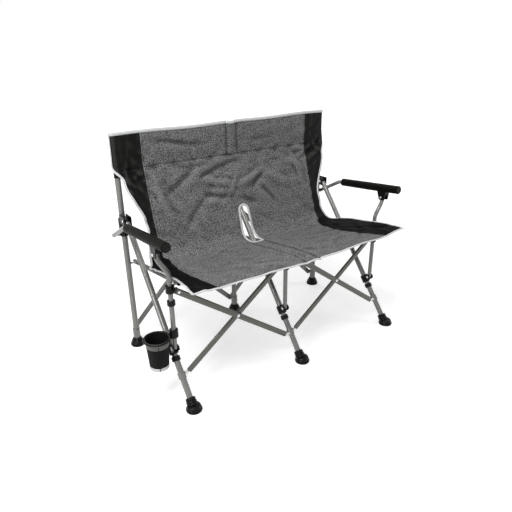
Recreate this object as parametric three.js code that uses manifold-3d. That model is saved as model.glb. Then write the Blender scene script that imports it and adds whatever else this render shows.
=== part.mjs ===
// Folding camping loveseat. Millimetres, +Z up, the seat faces -Y.
// The origin is the middle of the centre rear foot's flat base.
import * as THREE from 'three';
import { mergeVertices } from 'three/addons/utils/BufferGeometryUtils.js';
import Module from 'manifold-3d';

const wasm = await Module();
wasm.setup();

// Fits
const gap = 0.3;
const bearingGap = 0.4;
const cutOverrun = 4;
const weldShare = 0.001;

// Side frames
const bay = 490;
const uprightTop = 866;
const frameTubeRadius = 11;
const postTubeRadius = 8.5;
const railTubeRadius = 9;
const armTubeRadius = 8.5;
const tubeWall = 1.2;
const legPivotReach = 42;
const legPivotHeight = 566;
const footReach = 503;
const postReach = 386;
const postLead = 29.272;
const armPivotDrop = 60;
const armPivotHeight = legPivotHeight - armPivotDrop;
const armOutset = 36.5;
const seatCrossHeight = 424;
const postHeadRise = 140;
const postHeadHeight = seatCrossHeight + postHeadRise;
const railInset = 31.5;
const railRearReach = 3;
const railRearHeight = 376;
const railFrontRise = 14;
const railFrontHeight = seatCrossHeight + railFrontRise;

// Feet
const footBaseRadius = 29;
const footBaseHeight = 8;
const footShoulderRadius = 24.5;
const footShoulderHeight = 21;
const footNeckRadius = 16;
const footHeight = 36;
const footNeckLength = 44;
const socketFloor = 14;
const shankWall = 3.5;

// Cross tubes
const crossWidth = 22;
const crossThickness = 11;
const crossSideOffset = 14;
const rearCrossLow = 66;
const rearCrossDrop = 36;
const rearCrossHigh = legPivotHeight - rearCrossDrop;
const legBracketFromFoot = 125;
const crossFootOffset = 27;
const ballRadius = 5;
const stalkRadius = 3.2;
const layerGap = 2.2;
const rivetRadius = 5;
const rivetHead = 1.6;
const crossRivetShare = 1.2;
const middleLayerShare = 1.5;

// Clamps, rings and lugs
const clampWall = 6;
const cheekThickness = 3.5;
const cheekReach = 15;
const cheekHeight = 34;
const collarHeight = 20;
const sliderHeight = 34;
const sliderPlateShare = 0.7;
const ringHeight = 18;
const legRingDrop = 8;
const seatRingDrop = 30;
const ringWallShare = 0.8;
const seatClampHeight = 26;
const seatClampWall = 7;
const bracketHeight = 24;
const bracketWall = 3;
const lugHeight = 16;
const lugWidth = 12;
const lugRootShare = 0.4;

// Arm pads
const padRadius = 17;
const padRearReach = 145;
const padRearRise = 11;
const padRearHeight = postHeadHeight + padRearRise;
const padFrontReach = 468;
const padFrontRise = 45;
const padFrontHeight = postHeadHeight + padFrontRise;
const padEndWall = 6;
const armBendShare = 2.5;
const armBracketLength = 54;
const armBracketDepth = 14;
const postPinShare = 0.33;

// Cup holder
const cupRimRadius = 42;
const cupBaseRadius = 34;
const cupDepth = 116;
const cupWall = 2.4;
const cupRimHeight = 253;
const cupWireRadius = 3;
const cupClampHeight = 30;

// Fabric
const sheetThickness = 3;
const backTop = 883;
const backTopReach = frameTubeRadius + gap + sheetThickness / 2;
const headerLow = 748;
const seatRear = 122;
const seatRearHeight = 408;
const seatFront = 552;
const seatCornerSetback = 14;
const seatFrontRise = 23;
const seatFrontHeight = railFrontHeight + seatFrontRise;
const slotHalfWidth = 20;
const slotTop = 545;
const slotFront = 204;
const backInset = 2;
const backHalfWidth = bay - backInset;
const waistInset = 62;
const waistHalfWidth = bay - waistInset;
const waistHigh = 710;
const waistLow = 520;
const seatRearInset = 43.5;
const seatRearHalfWidth = bay - seatRearInset;
const seatRearFlare = 482;
const seatSideInset = 16.5;
const seatSideHalfWidth = bay - seatSideInset;
const backSag = 9;
const seatSag = 10;
const foldDepth = 4;
const backFoldCount = 5;
const seatFoldCount = 6;
const edgeLift = 9;
const edgeStartShare = 0.75;
const edgeRiseShare = 0.3;
const sideShare = 0.16;
const cornerStartShare = 0.62;
const cornerEndShare = 0.97;

// Round counts
const tubeSides = 12;
const ringSides = 16;
const cupWireSides = 25;
const bendSteps = 6;
const sheetAcross = 40;
const sheetDown = 10;

const sides = { left: -1, centre: 0, right: 1 };
const frameX = (side) => sides[side] * bay;
const point = (x, y, z) => new THREE.Vector3(x, y, z);

// Finishes
const finishes = {
  steel: { color: 0x8d908f, roughness: 0.42, metalness: 0.65 },
  darkSteel: { color: 0x4b4a46, roughness: 0.5, metalness: 0.5 },
  zinc: { color: 0xc9cccd, roughness: 0.3, metalness: 0.9 },
  plastic: { color: 0x1b1b1c, roughness: 0.5, metalness: 0 },
  foam: { color: 0x202021, roughness: 0.85, metalness: 0 },
  fabric: { color: 0x5d5d5f, roughness: 0.95, metalness: 0 },
  cupFabric: { color: 0x232325, roughness: 0.9, metalness: 0 },
};

const chair = new THREE.Group();

function piece(name, finish, geometry, parent = chair) {
  const mesh = new THREE.Mesh(geometry, new THREE.MeshStandardMaterial(finishes[finish]));
  mesh.name = name;
  parent.add(mesh);
  return mesh;
}

// Booleans on closed meshes
function solid(geometry) {
  const bare = geometry.index ? geometry.toNonIndexed() : geometry.clone();
  bare.deleteAttribute('normal');
  bare.deleteAttribute('uv');
  const merged = mergeVertices(bare, gap * weldShare);
  return new wasm.Manifold(new wasm.Mesh({
    numProp: 3,
    vertProperties: new Float32Array(merged.attributes.position.array),
    triVerts: new Uint32Array(merged.index.array),
  }));
}

function geometryOf(body) {
  const mesh = body.getMesh();
  const geometry = new THREE.BufferGeometry();
  geometry.setAttribute('position', new THREE.BufferAttribute(mesh.vertProperties, 3));
  geometry.setIndex(new THREE.BufferAttribute(mesh.triVerts, 1));
  return geometry;
}

const joined = (...geometries) =>
  geometryOf(geometries.map(solid).reduce((whole, next) => whole.add(next)));
const cut = (base, ...tools) =>
  geometryOf(tools.map(solid).reduce((whole, tool) => whole.subtract(tool), solid(base)));

// Primitive shapes
function ringShape(outer, inner) {
  const shape = new THREE.Shape().absarc(0, 0, outer, 0, 2 * Math.PI);
  if (inner > 0) shape.holes.push(new THREE.Path().absarc(0, 0, inner, 0, 2 * Math.PI, true));
  return shape;
}

function ovalShape(width, thickness) {
  const round = thickness / 2;
  const straight = width / 2 - round;
  const shape = new THREE.Shape();
  shape.absarc(straight, 0, round, -Math.PI / 2, Math.PI / 2);
  shape.absarc(-straight, 0, round, Math.PI / 2, 1.5 * Math.PI);
  return shape;
}

function ovalTubeShape(width, thickness, wall) {
  const shape = ovalShape(width, thickness);
  const inner = ovalShape(width - 2 * wall, thickness - 2 * wall).getPoints(tubeSides / 4);
  shape.holes.push(new THREE.Path(inner.reverse()));
  return shape;
}

// Carries a geometry built along +Z from start towards end, with its X axis as near to side as can be
function place(geometry, start, end, side = null) {
  const along = end.clone().sub(start).normalize();
  side = side ?? (Math.abs(along.x) > Math.SQRT1_2 ? point(0, 0, 1) : point(1, 0, 0));
  const across = side.clone().addScaledVector(along, -side.dot(along)).normalize();
  const third = along.clone().cross(across);
  const matrix = new THREE.Matrix4().makeBasis(across, third, along).setPosition(start);
  return geometry.applyMatrix4(matrix);
}

function extruded(shape, length, curveSegments = tubeSides / 2) {
  return new THREE.ExtrudeGeometry(shape, { depth: length, bevelEnabled: false, curveSegments });
}

function straightTube(start, end, outer, wall = tubeWall) {
  const length = start.distanceTo(end);
  return place(extruded(ringShape(outer, wall > 0 ? outer - wall : 0), length), start, end);
}

function rod(start, end, radius, count = tubeSides) {
  const length = start.distanceTo(end);
  return place(extruded(ringShape(radius, 0), length, count / 2), start, end);
}

function collar(centre, direction, inner, outer, height) {
  const half = direction.clone().setLength(height / 2);
  const shape = ringShape(outer, inner);
  const start = centre.clone().sub(half);
  return place(extruded(shape, height, ringSides / 2), start, centre.clone().add(half));
}

function block(low, high) {
  const size = high.clone().sub(low);
  const box = new THREE.BoxGeometry(size.x, size.y, size.z);
  return box.translate(...low.clone().add(high).multiplyScalar(0.5).toArray());
}

// A path whose rings fall exactly on the given points
class Polyline extends THREE.Curve {
  constructor(points) {
    super();
    this.points = points;
  }

  getPoint(share, target = point(0, 0, 0)) {
    const place = share * (this.points.length - 1);
    const index = Math.min(Math.floor(place), this.points.length - 2);
    return target.copy(this.points[index]).lerp(this.points[index + 1], place - index);
  }

  getPointAt(share, target) {
    return this.getPoint(share, target);
  }

  getTangentAt(share, target = point(0, 0, 0)) {
    const index = Math.round(share * (this.points.length - 1));
    const before = this.points[Math.max(index - 1, 0)];
    const after = this.points[Math.min(index + 1, this.points.length - 1)];
    const here = this.points[index];
    const incoming = here.clone().sub(before).normalize();
    return target.copy(after).sub(here).normalize().add(incoming).normalize();
  }
}

function bentTube(points, outer, wall) {
  return new THREE.ExtrudeGeometry(ringShape(outer, outer - wall), {
    steps: points.length - 1, extrudePath: new Polyline(points),
    curveSegments: tubeSides / 2, bevelEnabled: false,
  });
}

// Front leg line, shared by all three frames
const legTop = point(0, -legPivotReach, legPivotHeight);
const legFoot = point(0, -footReach, 0);
const legAlong = legFoot.clone().sub(legTop).normalize();
const legAhead = point(0, -1, 0).addScaledVector(legAlong, legAlong.y).normalize();
const legLength = legTop.distanceTo(legFoot);
const onLeg = (fromTop, ahead = 0) =>
  legTop.clone().addScaledVector(legAlong, fromTop).addScaledVector(legAhead, ahead);

// The post's foot stands ahead of the leg by its lead, square to the leg
const postFootHeight = legPivotHeight
  + (postLead - legAhead.y * (legPivotReach - postReach)) / legAhead.z;
const postFoot = point(0, -postReach, postFootHeight);
const sliderFromTop = postFoot.clone().sub(legTop).dot(legAlong);
const postAhead = postFoot.clone().sub(legTop).dot(legAhead);
const upward = point(0, 0, 1);
const railRear = point(0, -railRearReach, railRearHeight);
const railFront = point(0, -postReach, railFrontHeight);
const armPivot = point(0, 0, armPivotHeight);
const padRear = point(0, -padRearReach, padRearHeight);
const padFront = point(0, -padFrontReach, padFrontHeight);
const padAlong = padFront.clone().sub(padRear).normalize();

// Cross tube layers, counted away from the frame that carries them
const rearLayerY = (layer) =>
  frameTubeRadius + clampWall + gap + crossThickness / 2 + (layer - 1) * (crossThickness + layerGap);
const frontLayer = (layer) => (layer - middleLayerShare) * (crossThickness + layerGap);
const seatLayer = (layer) =>
  postTubeRadius + seatClampWall + gap + crossThickness / 2
  + (layer - 1) * (crossThickness + layerGap);

// Feet: a level dome, with the tube's socket upright or leaning with the leg
const socketRadius = frameTubeRadius + gap;

function turnedProfile(points) {
  const profile = points.map(([radius, height]) => new THREE.Vector2(radius, height));
  return new THREE.LatheGeometry(profile, ringSides).rotateX(Math.PI / 2);
}

function uprightFoot() {
  return turnedProfile([
    [0, 0], [footBaseRadius, 0], [footBaseRadius, footBaseHeight],
    [footShoulderRadius, footShoulderHeight], [footNeckRadius, footHeight],
    [socketRadius, footHeight], [socketRadius, socketFloor], [0, socketFloor],
  ]);
}

function leaningFoot(base, axis) {
  const dome = turnedProfile([
    [0, 0], [footBaseRadius, 0], [footBaseRadius, footBaseHeight],
    [footShoulderRadius, footShoulderHeight], [0, footShoulderHeight],
  ]).translate(base.x, base.y, base.z);
  const neckTop = base.clone().addScaledVector(axis, footNeckLength);
  const neckLow = base.clone().addScaledVector(axis, -socketFloor);
  const bore = base.clone().addScaledVector(axis, socketFloor + footBaseHeight);
  const beyond = neckTop.clone().addScaledVector(axis, cutOverrun);
  const neck = rod(neckLow, neckTop, footShoulderRadius - shankWall, ringSides);
  const under = block(
    point(-footBaseRadius * 2, base.y - footBaseRadius * 2, base.z - footHeight),
    point(footBaseRadius * 2, base.y + footBaseRadius * 2, base.z));
  return cut(joined(dome, neck), under, rod(bore, beyond, socketRadius, ringSides));
}

// A lug that carries one cross tube behind an upright
function rearLug(side, layer, height) {
  const face = rearLayerY(layer) - crossThickness / 2 - gap;
  const middle = side * crossSideOffset;
  const lugRoot = frameTubeRadius + clampWall * lugRootShare;
  return joined(
    block(
      point(Math.min(0, middle), lugRoot, height - lugHeight / 2),
      point(Math.max(0, middle), frameTubeRadius + clampWall, height + lugHeight / 2)),
    block(
      point(middle - lugWidth / 2, lugRoot, height - lugHeight / 2),
      point(middle + lugWidth / 2, face, height + lugHeight / 2)));
}

const hasLeftBay = (side) => side !== 'left';
const hasRightBay = (side) => side !== 'right';

function rearLugs(side, height, leftLayer, rightLayer) {
  const lugs = [];
  if (hasLeftBay(side)) lugs.push(rearLug(-1, leftLayer, height));
  if (hasRightBay(side)) lugs.push(rearLug(1, rightLayer, height));
  return lugs;
}

function rearFoot(side) {
  const low = footHeight - shankWall;
  const high = rearCrossLow + lugHeight / 2 + shankWall;
  const shank = collar(
    point(0, 0, (low + high) / 2), upward, socketRadius, frameTubeRadius + shankWall, high - low);
  return joined(uprightFoot(), shank, ...rearLugs(side, rearCrossLow, 1, 2));
}

// The hub slides on the upright, holds the leg's top between two cheeks and carries the rear tubes
function hub(side) {
  const inner = frameTubeRadius + bearingGap;
  const low = armPivotHeight + collarHeight / 2 + gap;
  const ring = collar(
    point(0, 0, (low + legPivotHeight) / 2), upward, inner, frameTubeRadius + clampWall,
    legPivotHeight - low);
  const cheeks = [-1, 1].map((way) => {
    const near = way * inner;
    const far = way * (inner + cheekThickness);
    return block(
      point(Math.min(near, far), -legPivotReach - cheekReach, legPivotHeight - cheekHeight / 2),
      point(Math.max(near, far), -clampWall, legPivotHeight + cheekHeight / 2));
  });
  const heads = [-1, 1].map((way) => rod(
    point(way * (inner + cheekThickness / 2), -legPivotReach, legPivotHeight),
    point(way * (inner + cheekThickness + rivetHead), -legPivotReach, legPivotHeight),
    rivetRadius));
  return joined(ring, ...cheeks, ...heads, ...rearLugs(side, rearCrossHigh, 2, 1));
}

// The fixed collar under the hub is its stop, and the arm tube swings on its boss
function stopCollar(side) {
  const ring = collar(
    point(0, 0, armPivotHeight), upward, frameTubeRadius + gap,
    frameTubeRadius + clampWall, collarHeight);
  const way = sides[side];
  const boss = rod(
    point(way * (frameTubeRadius + clampWall / 2), 0, armPivotHeight),
    point(way * (armOutset - armTubeRadius - gap), 0, armPivotHeight),
    armTubeRadius - tubeWall, ringSides);
  return cut(joined(ring, boss), rod(
    point(0, 0, armPivotHeight - collarHeight), point(0, 0, armPivotHeight + collarHeight),
    frameTubeRadius + gap, ringSides));
}

// The slider's two bores: one runs on the leg, the other holds the post's foot
function legSlider() {
  const inner = frameTubeRadius + bearingGap;
  const outer = frameTubeRadius + clampWall;
  const ring = collar(onLeg(sliderFromTop), legAlong, inner, outer, sliderHeight);
  const cheekInner = postTubeRadius + bearingGap;
  const cheekSide = point(1, 0, 0);
  const cheeks = [-1, 1].map((way) => {
    const plate = extruded(ovalShape(postAhead + outer, sliderHeight * sliderPlateShare), cheekThickness);
    const centre = onLeg(sliderFromTop, postAhead / 2 + clampWall / 2);
    const start = centre.clone().addScaledVector(
      cheekSide, way > 0 ? cheekInner : -cheekInner - cheekThickness);
    return place(plate, start, start.clone().add(cheekSide), legAhead);
  });
  const heads = [-1, 1].map((way) => rod(
    onLeg(sliderFromTop, postAhead).addScaledVector(cheekSide, way * (cheekInner + gap)),
    onLeg(sliderFromTop, postAhead)
      .addScaledVector(cheekSide, way * (cheekInner + cheekThickness + rivetHead)),
    rivetRadius));
  const bore = rod(
    onLeg(sliderFromTop - sliderHeight), onLeg(sliderFromTop + sliderHeight), inner, ringSides);
  return cut(joined(ring, ...cheeks, ...heads), bore);
}

function legRing() {
  const middle = sliderFromTop + sliderHeight / 2 + legRingDrop + ringHeight / 2;
  return collar(
    onLeg(middle), legAlong, frameTubeRadius + gap, frameTubeRadius + clampWall * ringWallShare,
    ringHeight);
}

// The bracket low on the leg carries each cross tube's foot on a ball
function frontLegBracket(side) {
  const centre = onLeg(legLength - legBracketFromFoot);
  const along = legAlong.clone().setLength(bracketHeight);
  const ring = collar(
    centre, legAlong, frameTubeRadius + gap, frameTubeRadius + bracketWall, bracketHeight);
  const ballOn = (way, layer) => {
    const end = point(way * crossFootOffset, centre.y - frontLayer(layer), centre.z);
    const ball = new THREE.SphereGeometry(ballRadius, tubeSides, tubeSides / 2);
    return joined(
      ball.translate(end.x, end.y, end.z), rod(end.clone().setX(0), end, stalkRadius));
  };
  const balls = [];
  if (hasLeftBay(side)) balls.push(ballOn(-1, 2));
  if (hasRightBay(side)) balls.push(ballOn(1, 1));
  const bore = rod(
    centre.clone().sub(along), centre.clone().add(along), frameTubeRadius + gap, ringSides);
  return cut(joined(ring, ...balls), bore);
}

// The seat clamp grips the post and carries the cross tubes' tops
function seatClamp(side) {
  const centre = point(0, -postReach, seatCrossHeight);
  const inner = postTubeRadius + bearingGap;
  const outer = postTubeRadius + seatClampWall;
  const ring = collar(centre, upward, inner, outer, seatClampHeight);
  const lug = (way, layer) => {
    const face = -postReach - seatLayer(layer) + crossThickness / 2 + gap;
    const middle = way * crossSideOffset;
    const half = lugWidth / 2;
    return joined(
      block(
        point(Math.min(0, middle), -postReach - outer, seatCrossHeight - half),
        point(Math.max(0, middle), -postReach - inner + gap, seatCrossHeight + half)),
      block(
        point(middle - half, face, seatCrossHeight - half),
        point(middle + half, -postReach - inner, seatCrossHeight + half)));
  };
  const lugs = [];
  if (hasLeftBay(side)) lugs.push(lug(-1, 1));
  if (hasRightBay(side)) lugs.push(lug(1, 2));
  const bore = rod(
    point(0, -postReach, seatCrossHeight - seatClampHeight),
    point(0, -postReach, seatCrossHeight + seatClampHeight), inner, ringSides);
  return cut(joined(ring, ...lugs), bore);
}

function seatRing() {
  const middle = seatCrossHeight - seatClampHeight / 2 - seatRingDrop - ringHeight / 2;
  return collar(
    point(0, -postReach, middle), upward, postTubeRadius + gap,
    postTubeRadius + seatClampWall * ringWallShare, ringHeight);
}

// Posts: the outer two bend outwards to reach under the arm pad
function frontPost(side) {
  const way = sides[side];
  if (way === 0) {
    return straightTube(
      postFoot, point(0, -postReach, seatCrossHeight + seatClampHeight / 2 + gap),
      postTubeRadius);
  }
  const high = point(way * armOutset, -postReach, postHeadHeight - 2 * postTubeRadius);
  const low = high.clone().add(point(-way * armOutset, 0, -2 * armOutset));
  const points = [postFoot];
  for (let step = 0; step <= bendSteps; step += 1) {
    const share = step / bendSteps;
    const across = THREE.MathUtils.smoothstep(share, 0, 1);
    points.push(point(blend(low.x, high.x, across), -postReach, blend(low.z, high.z, share)));
  }
  points.push(point(high.x, -postReach, postHeadHeight));
  return bentTube(points, postTubeRadius, tubeWall);
}

function seatRail(side) {
  const x = sides[side] === 0 ? railInset : -sides[side] * railInset;
  const shift = point(x, 0, 0);
  const start = railRear.clone().add(shift);
  const end = railFront.clone().add(shift);
  const way = Math.sign(x);
  const beyond = end.clone().sub(start).setLength(railTubeRadius);
  const tube = straightTube(start.clone().sub(beyond), end.clone().add(beyond), railTubeRadius);
  const pins = [[railRear, frameTubeRadius], [railFront, postTubeRadius + seatClampWall]];
  return joined(tube, ...pins.map(([centre, reach]) => rod(
    centre.clone().add(point(way * (reach + gap), 0, 0)),
    centre.clone().add(point(x - way * (railTubeRadius - tubeWall / 2), 0, 0)),
    rivetRadius)));
}

// Cross tubes are flat ovals with a rivet head at each pivot that faces out
function crossTube(low, high, facing, startBeyond, rivetEnds) {
  const along = high.clone().sub(low).normalize();
  const across = along.clone().cross(facing).normalize();
  const start = low.clone().addScaledVector(along, -startBeyond);
  const end = high.clone().addScaledVector(along, crossWidth / 2);
  const tube = place(
    extruded(ovalTubeShape(crossWidth, crossThickness, tubeWall), start.distanceTo(end),
      tubeSides / 4),
    start, end, across);
  const heads = rivetEnds.map((centre) => rod(
    centre.clone().addScaledVector(facing, crossThickness / 2 - tubeWall / 2),
    centre.clone().addScaledVector(facing, crossThickness / 2 + rivetHead), rivetRadius));
  return joined(tube, ...heads);
}

function crossRivet(low, high, facing) {
  const centre = low.clone().add(high).multiplyScalar(0.5);
  return rod(
    centre.clone().addScaledVector(facing, crossThickness / 2 + gap),
    centre.clone().addScaledVector(facing, crossThickness / 2 + gap + rivetHead),
    rivetRadius * crossRivetShare);
}

// Arm tube, from the collar's boss up to the pad and on inside it
function armTube() {
  const tail = armPivot.clone().add(point(0, armTubeRadius, -armTubeRadius / 2));
  const corner = padRear.clone().addScaledVector(padAlong, -armTubeRadius * armBendShare);
  const rise = corner.clone().sub(tail).normalize();
  const bend = new THREE.QuadraticBezierCurve3(
    corner.clone().addScaledVector(rise, -armTubeRadius * 2), corner,
    corner.clone().addScaledVector(padAlong, armTubeRadius * 2));
  const end = padFront.clone().addScaledVector(padAlong, -padEndWall - gap);
  return bentTube([tail, ...bend.getPoints(bendSteps), end], armTubeRadius, tubeWall);
}

function armPad() {
  const length = padRear.distanceTo(padFront);
  const bore = armTubeRadius + gap;
  const round = padRadius - bore;
  const profile = [
    [bore, 0], [padRadius - round / 2, 0], [padRadius, round / 2],
    [padRadius, length - round / 2], [padRadius - round / 2, length], [0, length],
    [0, length - padEndWall], [bore, length - padEndWall], [bore, 0],
  ].map(([radius, height]) => new THREE.Vector2(radius, height));
  const pad = new THREE.LatheGeometry(profile, ringSides).rotateX(Math.PI / 2);
  return place(pad, padRear, padFront);
}

// Bracket under the pad, slotted for the post's head
function armBracket() {
  const slot = postTubeRadius + bearingGap;
  const width = 2 * (slot + cheekThickness);
  const onPad = padRear.clone().addScaledVector(
    padAlong, (postReach - padRearReach) / -padAlong.y);
  const shape = new THREE.Shape();
  const drop = onPad.z - postHeadHeight + armBracketDepth;
  shape.moveTo(-armBracketLength / 2, 0);
  shape.lineTo(armBracketLength / 2, 0);
  shape.lineTo(armBracketDepth, -drop);
  shape.lineTo(-armBracketDepth, -drop);
  shape.closePath();
  const plate = place(
    extruded(shape, width), point(-width / 2, onPad.y, onPad.z),
    point(width / 2, onPad.y, onPad.z), padAlong.clone().negate());
  const padBore = rod(
    padRear.clone().addScaledVector(padAlong, -padRadius),
    padFront.clone().addScaledVector(padAlong, padRadius), padRadius + gap, ringSides);
  const slotCut = block(
    point(-slot, onPad.y - armBracketLength, postHeadHeight - drop * 2),
    point(slot, onPad.y + armBracketLength, postHeadHeight + postTubeRadius + gap));
  const heads = [-1, 1].map((way) => rod(
    point(way * (slot + gap), -postReach, postHeadHeight - armBracketDepth * postPinShare),
    point(way * (slot + cheekThickness + rivetHead), -postReach,
      postHeadHeight - armBracketDepth * postPinShare), rivetRadius));
  return joined(cut(plate, padBore, slotCut), ...heads);
}

// Cup holder: a wire ring on a clamp round the left post, and the cup that hangs in it
const cupCentreX = -(postTubeRadius + seatClampWall + cupRimRadius + 2 * cupWireRadius);

function cupRing() {
  const rim = new THREE.TorusGeometry(
    cupRimRadius + cupWireRadius, cupWireRadius, tubeSides / 2, cupWireSides);
  rim.translate(cupCentreX, -postReach, cupRimHeight);
  const clampRing = collar(
    point(0, -postReach, cupRimHeight), upward, postTubeRadius + gap,
    postTubeRadius + seatClampWall, cupClampHeight);
  const arm = block(
    point(cupCentreX + cupRimRadius + cupWireRadius, -postReach - cupWireRadius,
      cupRimHeight - cupWireRadius),
    point(-postTubeRadius - seatClampWall / 2, -postReach + cupWireRadius,
      cupRimHeight + cupWireRadius));
  return joined(rim, clampRing, arm);
}

function cup() {
  const outerTop = cupRimRadius - gap;
  const lipRadius = outerTop - cupWall;
  const profile = [
    [0, 0], [cupBaseRadius, 0], [outerTop, cupDepth], [lipRadius, cupDepth],
    [cupBaseRadius - cupWall, cupWall], [0, cupWall],
  ].map(([radius, height]) => new THREE.Vector2(radius, height));
  return new THREE.LatheGeometry(profile, ringSides).rotateX(Math.PI / 2)
    .translate(cupCentreX, -postReach, cupRimHeight + cupWireRadius - cupDepth);
}

// Sheets: a grid of points on a middle surface, thickened both ways along its normal
function sheet(surface, across, down) {
  const grid = [];
  for (let row = 0; row <= down; row += 1) {
    for (let column = 0; column <= across; column += 1) {
      grid.push(surface(column / across, row / down));
    }
  }
  const at = (column, row) => grid[
    THREE.MathUtils.clamp(row, 0, down) * (across + 1)
    + THREE.MathUtils.clamp(column, 0, across)];
  const faces = [1, -1].map((way) => grid.map((middle, index) => {
    const column = index % (across + 1);
    const row = Math.floor(index / (across + 1));
    const along = at(column + 1, row).clone().sub(at(column - 1, row));
    const below = at(column, row + 1).clone().sub(at(column, row - 1));
    const normal = below.cross(along).normalize();
    return middle.clone().addScaledVector(normal, way * sheetThickness / 2);
  }));
  const count = grid.length;
  const indices = [];
  const quad = (a, b, c, d) => indices.push(a, b, c, a, c, d);
  for (let row = 0; row < down; row += 1) {
    for (let column = 0; column < across; column += 1) {
      const a = row * (across + 1) + column;
      const b = a + across + 1;
      quad(a, b, b + 1, a + 1);
      quad(count + a, count + a + 1, count + b + 1, count + b);
    }
  }
  const rim = [];
  for (let column = 0; column < across; column += 1) rim.push(column);
  for (let row = 0; row < down; row += 1) rim.push(row * (across + 1) + across);
  for (let column = across; column > 0; column -= 1) rim.push(down * (across + 1) + column);
  for (let row = down; row > 0; row -= 1) rim.push(row * (across + 1));
  rim.forEach((a, index) => {
    const b = rim[(index + 1) % rim.length];
    quad(a, b, count + b, count + a);
  });
  const geometry = new THREE.BufferGeometry();
  const positions = faces.flat().flatMap((corner) => corner.toArray());
  geometry.setAttribute('position', new THREE.Float32BufferAttribute(positions, 3));
  geometry.setIndex(indices);
  return geometry;
}

const smooth = (from, to, value) => THREE.MathUtils.smoothstep(value, from, to);
const blend = (from, to, share) => from + (to - from) * share;
// One hanging curve per bay, zero at each frame
const baySag = (x) => Math.sin(Math.PI * Math.min(Math.abs(x) / bay, 1)) ** 2;

// The back is full at the top, drawn in beside the arms and a little wider again at the seat
function backSurface(across, down) {
  const height = blend(backTop, seatRearHeight, down);
  const drawn = 1 - smooth(waistLow, waistHigh, height);
  const flared = 1 - smooth(seatRearHeight, seatRearFlare, height);
  const halfWidth = backHalfWidth - (backHalfWidth - waistHalfWidth) * drawn
    + (seatRearHalfWidth - waistHalfWidth) * flared;
  const x = blend(-halfWidth, halfWidth, across);
  const lean = Math.max(headerLow - height, 0) / (headerLow - seatRearHeight);
  const reach = blend(backTopReach, seatRear, lean);
  const sag = backSag * baySag(x) * lean * (1 - lean) * 4;
  const creases = foldDepth * lean * Math.sin(x / bay * Math.PI * backFoldCount + lean * Math.PI * 2)
    * baySag(x) * (1 - lean);
  return point(x, -reach + sag + creases, height);
}

// The seat lies over the rails, is lifted along both sides and spreads at its front corners
function seatSurface(across, down) {
  const halfWidth = seatRearHalfWidth
    + (seatSideHalfWidth - seatRearHalfWidth) * smooth(0, sideShare, down)
    + (backHalfWidth - seatSideHalfWidth) * smooth(cornerStartShare, cornerEndShare, down);
  const x = blend(-halfWidth, halfWidth, across);
  const frontReach = seatFront - seatCornerSetback * (x / bay) ** 2;
  const reach = blend(seatRear + sheetThickness, frontReach, down);
  const railTop = railRearHeight + railTubeRadius
    + (reach - railRearReach) / (postReach - railRearReach) * (railFrontHeight - railRearHeight);
  const base = Math.max(Math.min(railTop + sheetThickness, seatFrontHeight), seatRearHeight);
  const edge = edgeLift * smooth(edgeStartShare, 1, Math.abs(x) / bay)
    * smooth(0, edgeRiseShare, down);
  const sag = seatSag * baySag(x) * Math.sqrt(Math.abs(Math.sin(Math.PI * down)));
  const creases = foldDepth / 2 * Math.sin(x / bay * Math.PI * seatFoldCount) * baySag(x) * down;
  return point(x, -reach, base + edge - sag + creases);
}

function slotCutter() {
  const shape = new THREE.Shape();
  shape.moveTo(-slotHalfWidth, seatRearHeight - slotHalfWidth * 2);
  shape.lineTo(slotHalfWidth, seatRearHeight - slotHalfWidth * 2);
  shape.lineTo(slotHalfWidth, slotTop - slotHalfWidth);
  shape.absarc(0, slotTop - slotHalfWidth, slotHalfWidth, 0, Math.PI);
  shape.closePath();
  return extruded(shape, seatRear * 2, tubeSides).rotateX(Math.PI / 2);
}

function seatSlotCutter() {
  const shape = new THREE.Shape();
  shape.moveTo(-slotHalfWidth, 0);
  shape.lineTo(-slotHalfWidth, -slotFront + slotHalfWidth);
  shape.absarc(0, -slotFront + slotHalfWidth, slotHalfWidth, Math.PI, 2 * Math.PI);
  shape.lineTo(slotHalfWidth, 0);
  shape.closePath();
  return extruded(shape, seatFrontHeight, tubeSides).translate(0, 0, seatRearHeight / 2);
}

// Three side frames
for (const side of Object.keys(sides)) {
  const frame = new THREE.Group();
  frame.position.x = frameX(side);
  chair.add(frame);
  piece(`${side}_rear_upright`, 'steel', straightTube(
    point(0, 0, socketFloor + gap), point(0, 0, uprightTop), frameTubeRadius), frame);
  piece(`${side}_rear_foot`, 'plastic', rearFoot(side), frame);
  piece(`${side}_front_leg`, 'steel', straightTube(
    onLeg(-frameTubeRadius), onLeg(legLength - socketFloor - footBaseHeight - gap),
    frameTubeRadius), frame);
  piece(`${side}_front_foot`, 'plastic',
    leaningFoot(legFoot, legAlong.clone().negate()), frame);
  piece(`${side}_leg_hub`, 'plastic', hub(side), frame);
  if (sides[side] !== 0) piece(`${side}_stop_collar`, 'plastic', stopCollar(side), frame);
  piece(`${side}_leg_slider`, 'plastic', legSlider(), frame);
  piece(`${side}_leg_stop_ring`, 'plastic', legRing(), frame);
  piece(`${side}_leg_bracket`, 'zinc', frontLegBracket(side), frame);
  piece(`${side}_front_post`, 'steel', frontPost(side), frame);
  piece(`${side}_seat_clamp`, 'plastic', seatClamp(side), frame);
  piece(`${side}_seat_stop_ring`, 'plastic', seatRing(), frame);
  piece(`${side}_seat_rail`, 'darkSteel', seatRail(side), frame);
}

// Arms
for (const side of ['left', 'right']) {
  const arm = new THREE.Group();
  arm.position.x = frameX(side) + sides[side] * armOutset;
  chair.add(arm);
  piece(`${side}_arm_tube`, 'steel', armTube(), arm);
  piece(`${side}_arm_pad`, 'foam', armPad(), arm);
  piece(`${side}_arm_bracket`, 'plastic', armBracket(), arm);
}

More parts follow.
